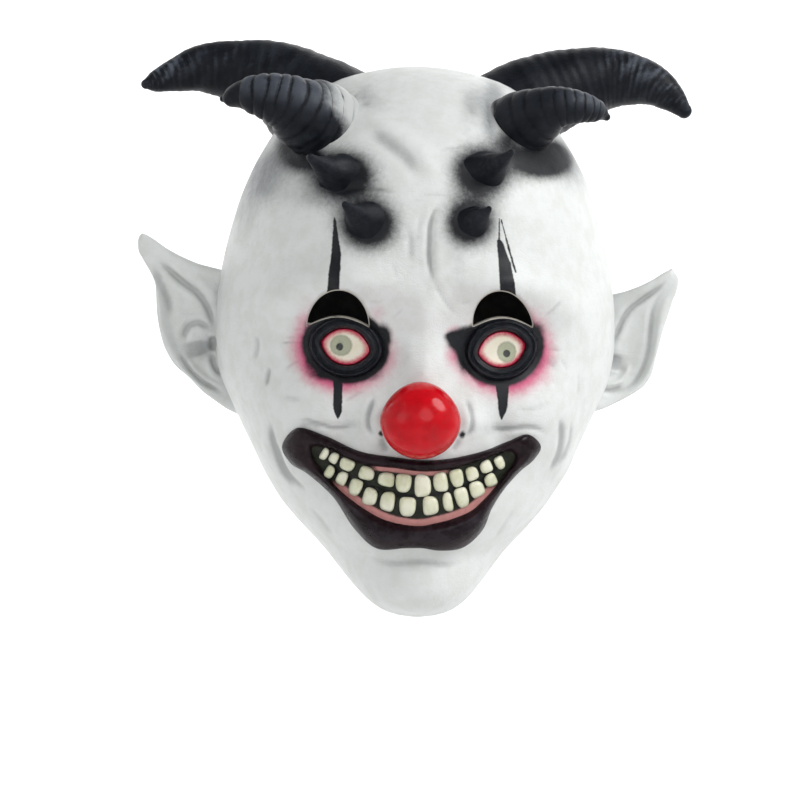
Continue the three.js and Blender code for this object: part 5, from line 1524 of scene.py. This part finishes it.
def painted_stroke():
    """A brush stroke down the face, wider or narrower towards its end, with a ragged edge."""

    def build(bench, given):
        x, _, z = bench.split(given["Place"])[:3]
        ragged = bench.noise(given["Place"], 900.0, 4.0, 0.7)
        wobble = bench.noise(given["Place"], 160.0, 2.0, 0.5)
        run = bench.math("SUBTRACT", given["Top"], given["Bottom"])
        t = bench.math("DIVIDE", bench.math("SUBTRACT", given["Top"], z), run)
        held = bench.math("MAXIMUM", bench.math("MINIMUM", t, 1.0), 0.0)
        slant = bench.math("SUBTRACT", given["Bottom X"], given["Top X"])
        middle = bench.math("MULTIPLY_ADD", slant, held, given["Top X"])
        growth = bench.math("SUBTRACT", given["Bottom Half"], given["Top Half"])
        half = bench.math("MULTIPLY_ADD", growth, bench.math("POWER", held, given["Growth"]),
            given["Top Half"])
        gap = bench.math("ABSOLUTE", bench.math("SUBTRACT", x, middle))
        gap = bench.math("MULTIPLY_ADD", bench.math("SUBTRACT", ragged, 0.5), 0.0011, gap)
        gap = bench.math("MULTIPLY_ADD", bench.math("SUBTRACT", wobble, 0.5), 0.0012, gap)
        over = bench.math("SUBTRACT", gap, half)
        cover = bench.ramp(over, -0.00035, 0.00035, 1.0, 0.0)
        ends = bench.math("MULTIPLY", bench.math("GREATER_THAN", t, 0.0),
            bench.math("LESS_THAN", t, 1.0))
        return (bench.math("MULTIPLY", cover, ends),)

    return effect("painted stroke", (("Place", "VECTOR"), ("Top", 0.0), ("Bottom", 0.0),
        ("Top X", 0.0), ("Bottom X", 0.0), ("Top Half", 0.0), ("Bottom Half", 0.0),
        ("Growth", 1.0)), ("Cover",), build)


def painted_disc():
    """A round spot of paint seen from the front."""

    def build(bench, given):
        x, _, z = bench.split(given["Place"])[:3]
        across = bench.math("DIVIDE", bench.math("SUBTRACT", x, given["X"]), given["Half Width"])
        up = bench.math("DIVIDE", bench.math("SUBTRACT", z, given["Z"]), given["Half Height"])
        reach = bench.math("SQRT",
            bench.math("MULTIPLY_ADD", across, across, bench.math("MULTIPLY", up, up)))
        ragged = bench.math("SUBTRACT", bench.noise(given["Place"], 700.0, 3.0), 0.5)
        reach = bench.math("MULTIPLY_ADD", ragged, 0.2, reach)
        low = bench.math("SUBTRACT", 1.0, given["Soft"])
        high = bench.math("ADD", 1.0, given["Soft"])
        return bench.ramp(reach, low, high, 1.0, 0.0), reach

    return effect("painted disc", (("Place", "VECTOR"), ("X", 0.0), ("Z", 0.0),
        ("Half Width", 1.0), ("Half Height", 1.0), ("Soft", 0.1)), ("Cover", "Reach"), build)


def finish(name, build, roughness=0.5, coat=0.0, coat_roughness=0.2, specular=0.5):
    """A material whose colour, roughness and normal come from build(bench, place)."""
    material = bpy.data.materials.get(name)
    if material:
        return material
    material = bpy.data.materials.new(name)
    material.use_nodes = True
    material.node_tree.nodes.clear()
    bench = NodeBench(material.node_tree)
    shader = bench.add("ShaderNodeBsdfPrincipled")
    shader.inputs["Roughness"].default_value = roughness
    shader.inputs["Coat Weight"].default_value = coat
    shader.inputs["Coat Roughness"].default_value = coat_roughness
    shader.inputs["Specular IOR Level"].default_value = specular
    colour, rough, normal = build(bench, bench.object_place())
    bench.feed(shader.inputs["Base Color"], colour)
    bench.feed(shader.inputs["Roughness"], rough)
    bench.feed(shader.inputs["Normal"], normal)
    bench.feed(bench.add("ShaderNodeOutputMaterial").inputs["Surface"], shader.outputs[0])
    return material


def white_latex(mask):
    paints = mask.colours

    def build(bench, place):
        height, tone = bench.group(latex_grain(), Place=place)
        tinge = tuple(c * k for c, k in zip(paints.white, (0.93, 0.925, 0.905)))
        colour = bench.blend(tone, paints.white, tinge)
        # Airbrushed grey round the horns and spikes, and painted shade in creases, under the nose
        # and where parts meet the hood.
        shade = bench.group(brushed_cover(), Place=place, Cover=bench.cover("shade"), Grain=260.0,
            Break=0.35, Low=0.02, High=0.85)[0]
        colour = bench.blend(shade, colour, paints.airbrush_and_shade_grey)
        # Painted shade: darker grey along the creases.
        line = bench.group(brushed_cover(), Place=place, Cover=bench.cover("line"), Grain=500.0,
            Break=0.3, Low=0.08, High=0.95)[0]
        crease = tuple(c * 0.55 for c in paints.airbrush_and_shade_grey)
        colour = bench.blend(bench.math("MULTIPLY", line, 0.5), colour, crease)
        blush = bench.group(brushed_cover(), Place=place, Cover=bench.cover("blush"), Grain=330.0,
            Break=0.4, Low=0.08, High=0.95)[0]
        colour = bench.blend(bench.math("MULTIPLY", blush, 0.9), colour, paints.blush)
        # Black paint round the eyes and spikes, and painted shadow under the small horns and in
        # the nostrils.
        soot = bench.group(brushed_cover(), Place=place, Cover=bench.cover("soot"), Grain=420.0,
            Break=0.28, Low=0.08, High=0.64)[0]
        colour = bench.blend(soot, colour, paints.black)
        _, y, _ = bench.split(place)[:3]
        front = bench.math("LESS_THAN", y, -0.05)
        strokes = None
        for top, bottom, top_x, bottom_x, top_half, bottom_half, growth in STRIPES:
            stroke = bench.group(painted_stroke(), Place=place, Top=top * MM, Bottom=bottom * MM,
                Top_X=top_x * MM, Bottom_X=bottom_x * MM, Top_Half=top_half * MM,
                Bottom_Half=bottom_half * MM, Growth=growth)[0]
            strokes = stroke if strokes is None else bench.math("MAXIMUM", strokes, stroke)
        strokes = bench.math("MULTIPLY", strokes, front)
        colour = bench.blend(strokes, colour, paints.black)
        rough = bench.ramp(tone, 0.0, 1.0, 0.46, 0.58)
        return colour, rough, bench.bump(height, 0.55, 0.0004)

    return finish("white latex", build, coat=0.06, coat_roughness=0.4, specular=0.3)


def shaded_lining(mask):
    paints = mask.colours

    def build(bench, place):
        height, tone = bench.group(latex_grain(), Place=place, Pores=420.0, Wrinkles=140.0)
        # Dark grey all over: painted shade inside the hood.
        darker = tuple(c * 0.6 for c in paints.shaded_lining)
        return bench.blend(tone, paints.shaded_lining, darker), None, bench.bump(height, 0.5, 0.0006)

    return finish("bare latex lining", build, roughness=0.75)


def cut_latex(mask):
    paints = mask.colours

    def build(bench, place):
        height, tone = bench.group(latex_grain(), Place=place, Pores=1600.0)
        darker = tuple(c * 0.8 for c in paints.cut_edge)
        return bench.blend(tone, paints.cut_edge, darker), None, bench.bump(height, 0.3, 0.0002)

    return finish("cut latex edge", build, roughness=0.6)


def horn_latex(mask):
    paints = mask.colours

    def build(bench, place):
        height, tone = bench.group(latex_grain(), Place=place, Pores=700.0, Wrinkles=260.0)
        lighter = tuple(c * 1.5 + 0.003 for c in paints.black)
        colour = bench.blend(tone, paints.black, lighter)
        # Dry-brushed grey on the ridges, heavier on the upper sides as a painted highlight.
        rubbed = bench.group(worn_ridges(), Place=place, Ridge=bench.cover("ridge"),
            Amount=bench.cover("worn"))[0]
        colour = bench.blend(rubbed, colour, paints.dry_brush_and_sheen)
        bare = bench.group(brushed_cover(), Place=place, Cover=bench.cover("bare"), Grain=300.0,
            Break=0.5, Low=0.12, High=0.9)[0]
        # Where a horn's root is bare skin, darker grey in the grooves between the rings: painted
        # shade.
        groove = bench.ramp(bench.cover("ridge"), 0.05, 0.5)
        skin = bench.blend(groove, tuple(c * 0.5 for c in paints.airbrush_and_shade_grey),
            tuple(c * 0.66 for c in paints.white))
        colour = bench.blend(bare, colour, skin)
        rough = bench.ramp(tone, 0.0, 1.0, 0.36, 0.5)
        return colour, rough, bench.bump(height, 0.42, 0.0005)

    return finish("black horn latex", build, coat=0.0, specular=0.12)


def lid_latex(mask):
    paints = mask.colours

    def build(bench, place):
        height, tone = bench.group(latex_grain(), Place=place, Pores=900.0, Wrinkles=420.0)
        deep = tuple(c * 0.7 for c in paints.black)
        colour = bench.blend(tone, deep, paints.black)
        rubbed = bench.group(worn_ridges(), Place=place, Ridge=bench.cover("ridge"),
            Amount=bench.cover("worn"))[0]
        grey = tuple(c * 0.5 for c in paints.dry_brush_and_sheen)
        colour = bench.blend(rubbed, colour, grey)
        return colour, bench.ramp(tone, 0.0, 1.0, 0.28, 0.42), bench.bump(height, 0.4, 0.0003)

    return finish("black lid latex", build, coat=0.06, coat_roughness=0.2, specular=0.12)


def nose_gloss(mask):
    paints = mask.colours

    def build(bench, place):
        height, tone = bench.group(latex_grain(), Place=place, Pores=520.0, Wrinkles=150.0)
        deep = tuple(c * k for c, k in zip(paints.red, (0.78, 0.6, 0.7)))
        colour = bench.blend(tone, paints.red, deep)
        # Paler red where the ball meets the face: a painted sheen.
        sheen_red = tuple(0.55 * c + 0.45 * w for c, w in zip(paints.red, paints.white))
        contact = bench.group(brushed_cover(), Place=place, Cover=bench.cover("contact"),
            Grain=500.0, Break=0.6, Low=0.3, High=1.1)[0]
        colour = bench.blend(bench.math("MULTIPLY", contact, 0.7), colour, sheen_red)
        return colour, bench.ramp(tone, 0.0, 1.0, 0.2, 0.3), bench.bump(height, 0.16, 0.0003)

    return finish("glossy nose red", build, coat=0.4, coat_roughness=0.1, specular=0.05)


def lip_gloss(mask):
    paints = mask.colours

    def build(bench, place):
        height, tone = bench.group(latex_grain(), Place=place, Pores=620.0, Wrinkles=300.0)
        lighter = tuple(c * 2.2 + 0.006 for c in paints.lip)
        colour = bench.blend(tone, paints.lip, lighter)
        # Painted sheen: greyer on the crown of the lips.
        crown_sheen = bench.math("MULTIPLY", bench.ramp(bench.cover("crown"), 0.75, 1.0), tone)
        grey = tuple(c * 0.35 for c in paints.dry_brush_and_sheen)
        colour = bench.blend(bench.math("MULTIPLY", crown_sheen, 0.35), colour, grey)
        return colour, bench.ramp(tone, 0.0, 1.0, 0.24, 0.38), bench.bump(height, 0.5, 0.0005)

    return finish("dark lip paint", build, coat=0.24, coat_roughness=0.05, specular=0.03)


def gum_latex(mask):
    paints = mask.colours

    def build(bench, place):
        height, tone = bench.group(latex_grain(), Place=place, Pores=900.0, Wrinkles=420.0)
        moss = tuple(c * k for c, k in zip(paints.grime_and_gap_shade, (1.9, 1.9, 1.6)))
        colour = bench.blend(tone, paints.grime_and_gap_shade, moss)
        bare = bench.group(brushed_cover(), Place=place, Cover=bench.cover("pink"), Grain=420.0,
            Break=0.7, Low=0.25, High=1.1)[0]
        colour = bench.blend(bare, colour, paints.gum)
        # Painted shade: near black along the line between the rows of teeth.
        gap = bench.ramp(bench.cover("gap"), 0.3, 0.8)
        colour = bench.blend(gap, colour, tuple(c * 0.25 for c in paints.grime_and_gap_shade))
        return colour, bench.ramp(tone, 0.0, 1.0, 0.35, 0.5), bench.bump(height, 0.5, 0.0004)

    return finish("stained gums", build, coat=0.08, coat_roughness=0.25, specular=0.2)


def tooth_paint(mask):
    paints = mask.colours

    def build(bench, place):
        height, tone = bench.group(latex_grain(), Place=place, Pores=1100.0, Wrinkles=300.0)
        stained = tuple(c * k for c, k in zip(paints.tooth, (0.78, 0.8, 0.66)))
        colour = bench.blend(tone, paints.tooth, stained)
        foot = bench.ramp(bench.cover("crown"), 0.02, 0.5, 1.0, 0.0)
        foot = bench.group(brushed_cover(), Place=place, Cover=foot, Grain=800.0, Break=0.6,
            Low=0.3, High=1.0)[0]
        colour = bench.blend(bench.math("MULTIPLY", foot, 0.85), colour,
            tuple(c * 1.4 for c in paints.grime_and_gap_shade))
        return colour, bench.ramp(tone, 0.0, 1.0, 0.24, 0.4), bench.bump(height, 0.3, 0.0003)

    return finish("stained tooth paint", build, coat=0.25, coat_roughness=0.2)


def eye_gloss(mask, name):
    paints = mask.colours
    iris, pupil = IRISES[name]

    def build(bench, place):
        height, tone = bench.group(latex_grain(), Place=place, Pores=900.0, Wrinkles=200.0)
        yellowed = tuple(c * k for c, k in zip(paints.eye, (0.96, 0.93, 0.82)))
        colour = bench.blend(tone, paints.eye, yellowed)
        edge = bench.group(brushed_cover(), Place=place, Cover=bench.cover("edge"), Grain=600.0,
            Break=0.6, Low=0.05, High=1.05)[0]
        colour = bench.blend(edge, colour,
            tuple(0.65 * r + 0.35 * b for r, b in zip(paints.red, paints.blush)))
        disc = bench.group(painted_disc(), Place=place, X=iris[0] * MM, Z=iris[1] * MM,
            Half_Width=iris[2] * MM, Half_Height=iris[3] * MM, Soft=0.14)
        rays = bench.noise(place, 900.0, 4.0, 0.7)
        ring = bench.blend(rays, paints.iris, tuple(c * 0.72 for c in paints.iris))
        rim = bench.ramp(disc[1], 0.78, 1.0)
        ring = bench.blend(bench.math("MULTIPLY", rim, 0.35), ring,
            tuple(c * 0.8 for c in paints.pupil))
        colour = bench.blend(disc[0], colour, ring)
        hole = bench.group(painted_disc(), Place=place, X=pupil[0] * MM, Z=pupil[1] * MM,
            Half_Width=pupil[2] * MM, Half_Height=pupil[3] * MM, Soft=0.2)[0]
        colour = bench.blend(hole, colour, tuple(c * 0.5 for c in paints.pupil))
        return colour, bench.ramp(tone, 0.0, 1.0, 0.15, 0.26), bench.bump(height, 0.14, 0.0002)

    return finish(f"glossy eye paint {name}", build, coat=0.8, coat_roughness=0.1)


# --- Studio ---


def studio_floor(bench, place):
    tone = bench.noise(place, 3.0, 3.0)
    return bench.blend(tone, (0.93, 0.93, 0.93), (0.9, 0.9, 0.9)), None, None


def make_studio():
    """A round pale cyclorama, soft lights and the camera at the photograph's angle."""
    bm = bmesh.new()
    floor, reach, bend = -0.75, 3.2, 1.1
    profile = [(0.0, floor), (reach - bend, floor)]
    for k in range(1, 13):
        angle = k / 12 * math.pi / 2
        profile.append((reach - bend + bend * math.sin(angle),
            floor + bend * (1 - math.cos(angle))))
    profile.append((reach, 3.4))
    verts = [bm.verts.new((x, 0.0, z)) for x, z in profile]
    edges = [bm.edges.new(pair) for pair in zip(verts, verts[1:])]
    bmesh.ops.spin(bm, geom=verts + edges, cent=(0, 0, 0), axis=(0, 0, 1), dvec=(0, 0, 0),
        angle=2 * math.pi, steps=64, use_merge=True, use_duplicate=False)
    bmesh.ops.remove_doubles(bm, verts=bm.verts, dist=1e-5)
    bmesh.ops.recalc_face_normals(bm, faces=bm.faces)
    bmesh.ops.reverse_faces(bm, faces=bm.faces)
    mesh = bpy.data.meshes.new("studio_backdrop")
    bm.to_mesh(mesh)
    bm.free()
    mesh.shade_smooth()
    mesh.materials.append(finish("studio paper", studio_floor, roughness=0.9))
    backdrop = bpy.data.objects.new("studio_backdrop", mesh)
    bpy.context.scene.collection.objects.link(backdrop)

    world = bpy.data.worlds.new("studio air")
    world.use_nodes = True
    world.node_tree.nodes["Background"].inputs["Color"].default_value = (1.0, 1.0, 1.0, 1.0)
    world.node_tree.nodes["Background"].inputs["Strength"].default_value = 0.2
    bpy.context.scene.world = world

    face, wall = Vector((0.0, -0.02, -0.13)), Vector((0.0, 3.2, -0.2))
    lights = (("key_light", face, (1.17, -0.5, 0.95), 1.0, 17.2),
        ("front_light", face, (0.44, -1.9, 0.4), 1.3, 6.3),
        ("left_light", face, (-1.4, -1.1, 0.1), 1.0, 2.3),
        ("rim_light", face, (0.6, 1.4, 1.0), 1.2, 3.7),
        ("rim_light_left", face, (-1.1, 1.2, 0.6), 1.0, 2.6),
        ("backdrop_light", wall + Vector((0.8, 0, 0)), (1.2, 1.25, 1.15), 1.2, 24.0),
        ("backdrop_light_left", wall - Vector((0.8, 0, 0)), (-1.2, 1.25, 1.15), 1.2, 24.0),
        ("backdrop_light_high", wall, (0.0, 1.4, 1.3), 1.2, 20.0))
    for name, target, place, size, power in lights:
        lamp = bpy.data.lights.new(name, "AREA")
        lamp.shape = "DISK"
        lamp.size = size
        lamp.energy = power
        spot = bpy.data.objects.new(name, lamp)
        spot.location = place
        spot.rotation_euler = (Vector(place) - target).to_track_quat("Z", "Y").to_euler()
        bpy.context.scene.collection.objects.link(spot)
    make_camera()


def make_camera():
    azimuth, elevation, roll = (math.radians(v) for v in (-2.5, 1.0, 1.0))
    back = Vector((math.sin(azimuth) * math.cos(elevation),
        -math.cos(azimuth) * math.cos(elevation), math.sin(elevation)))
    right = Vector((math.cos(azimuth), math.sin(azimuth), 0.0))
    up = back.cross(right)
    right, up = (right * math.cos(roll) + up * math.sin(roll),
        up * math.cos(roll) - right * math.sin(roll))
    lens = bpy.data.cameras.new("photo_camera")
    lens.lens = 160.4
    lens.sensor_width = 36.0
    lens.clip_start, lens.clip_end = 0.05, 20.0
    camera = bpy.data.objects.new("photo_camera", lens)
    turn = Matrix((right, up, back)).transposed().to_4x4()
    turn.translation = Vector((-0.0072, 0.0, -0.175)) + back * 1.9
    camera.matrix_world = turn
    bpy.context.scene.collection.objects.link(camera)
    bpy.context.scene.camera = camera
    bpy.context.scene.view_settings.view_transform = "Standard"


# --- Operators and panel ---


class CLOWN_OT_hood(bpy.types.Operator):
    """Builds the latex hood with its openings, creases and paint"""

    bl_idname = "clown_mask.hood"
    bl_label = "Hood"

    def execute(self, context):
        make_hood(context.scene.clown_mask)
        return {"FINISHED"}


class CLOWN_OT_ears(bpy.types.Operator):
    """Builds the two folded ears"""

    bl_idname = "clown_mask.ears"
    bl_label = "Ears"

    def execute(self, context):
        make_ears(context.scene.clown_mask)
        return {"FINISHED"}


class CLOWN_OT_big_horns(bpy.types.Operator):
    """Builds the two curved horns on the crown"""

    bl_idname = "clown_mask.big_horns"
    bl_label = "Curved Horns"

    def execute(self, context):
        make_big_horns(context.scene.clown_mask)
        return {"FINISHED"}


class CLOWN_OT_small_horns(bpy.types.Operator):
    """Builds the two ringed horns on the forehead"""

    bl_idname = "clown_mask.small_horns"
    bl_label = "Ringed Horns"

    def execute(self, context):
        make_small_horns(context.scene.clown_mask)
        return {"FINISHED"}


class CLOWN_OT_spikes(bpy.types.Operator):
    """Builds the four spikes on the forehead"""

    bl_idname = "clown_mask.spikes"
    bl_label = "Spikes"

    def execute(self, context):
        make_spikes(context.scene.clown_mask)
        return {"FINISHED"}


class CLOWN_OT_nose(bpy.types.Operator):
    """Builds the glossy ball of the nose"""

    bl_idname = "clown_mask.nose"
    bl_label = "Nose"

    def execute(self, context):
        make_nose(context.scene.clown_mask)
        return {"FINISHED"}


class CLOWN_OT_eyes(bpy.types.Operator):
    """Builds the black lids and the painted eyes between them"""

    bl_idname = "clown_mask.eyes"
    bl_label = "Eyes"

    def execute(self, context):
        make_eyes(context.scene.clown_mask)
        return {"FINISHED"}


class CLOWN_OT_lips(bpy.types.Operator):
    """Builds the dark lips"""

    bl_idname = "clown_mask.lips"
    bl_label = "Lips"

    def execute(self, context):
        make_lips(context.scene.clown_mask)
        return {"FINISHED"}


class CLOWN_OT_gums(bpy.types.Operator):
    """Builds the stained gums inside the lips"""

    bl_idname = "clown_mask.gums"
    bl_label = "Gums"

    def execute(self, context):
        make_gums(context.scene.clown_mask)
        return {"FINISHED"}


class CLOWN_OT_teeth(bpy.types.Operator):
    """Builds the two rows of painted teeth"""

    bl_idname = "clown_mask.teeth"
    bl_label = "Teeth"

    def execute(self, context):
        make_teeth(context.scene.clown_mask)
        return {"FINISHED"}


class CLOWN_OT_studio(bpy.types.Operator):
    """Sets up the pale backdrop, the lights and the camera"""

    bl_idname = "clown_mask.studio"
    bl_label = "Studio"

    def execute(self, context):
        make_studio()
        return {"FINISHED"}


OPERATORS = (CLOWN_OT_hood, CLOWN_OT_ears, CLOWN_OT_big_horns, CLOWN_OT_small_horns,
    CLOWN_OT_spikes, CLOWN_OT_nose, CLOWN_OT_eyes, CLOWN_OT_lips, CLOWN_OT_gums, CLOWN_OT_teeth,
    CLOWN_OT_studio)


class CLOWN_PT_panel(bpy.types.Panel):
    """Sizes, colours and pieces of the mask"""

    bl_idname = "CLOWN_PT_panel"
    bl_label = "Clown Mask"
    bl_space_type = "VIEW_3D"
    bl_region_type = "UI"
    bl_category = "Clown Mask"

    def draw(self, context):
        mask = context.scene.clown_mask
        for group in (mask.hood, mask.eyes, mask.nose, mask.mouth, mask.horns, mask.ears,
                mask.colours):
            box = self.layout.box()
            for name in group.__annotations__:
                box.prop(group, name)
        for operator in OPERATORS:
            self.layout.operator(operator.bl_idname)


CLASSES = (HoodSizes, EyeSizes, NoseSizes, MouthSizes, HornSizes, EarSizes, MaskColours,
    ClownMask, *OPERATORS, CLOWN_PT_panel)


def register():
    for kind in CLASSES:
        bpy.utils.register_class(kind)
    bpy.types.Scene.clown_mask = bpy.props.PointerProperty(type=ClownMask, name="Clown mask",
        description="Sizes and colours of the mask")


def unregister():
    del bpy.types.Scene.clown_mask
    for kind in reversed(CLASSES):
        bpy.utils.unregister_class(kind)


def main():
    register()
    for operator in OPERATORS:
        folder, name = operator.bl_idname.split(".")
        getattr(getattr(bpy.ops, folder), name)()


if __name__ == "__main__":
    main()
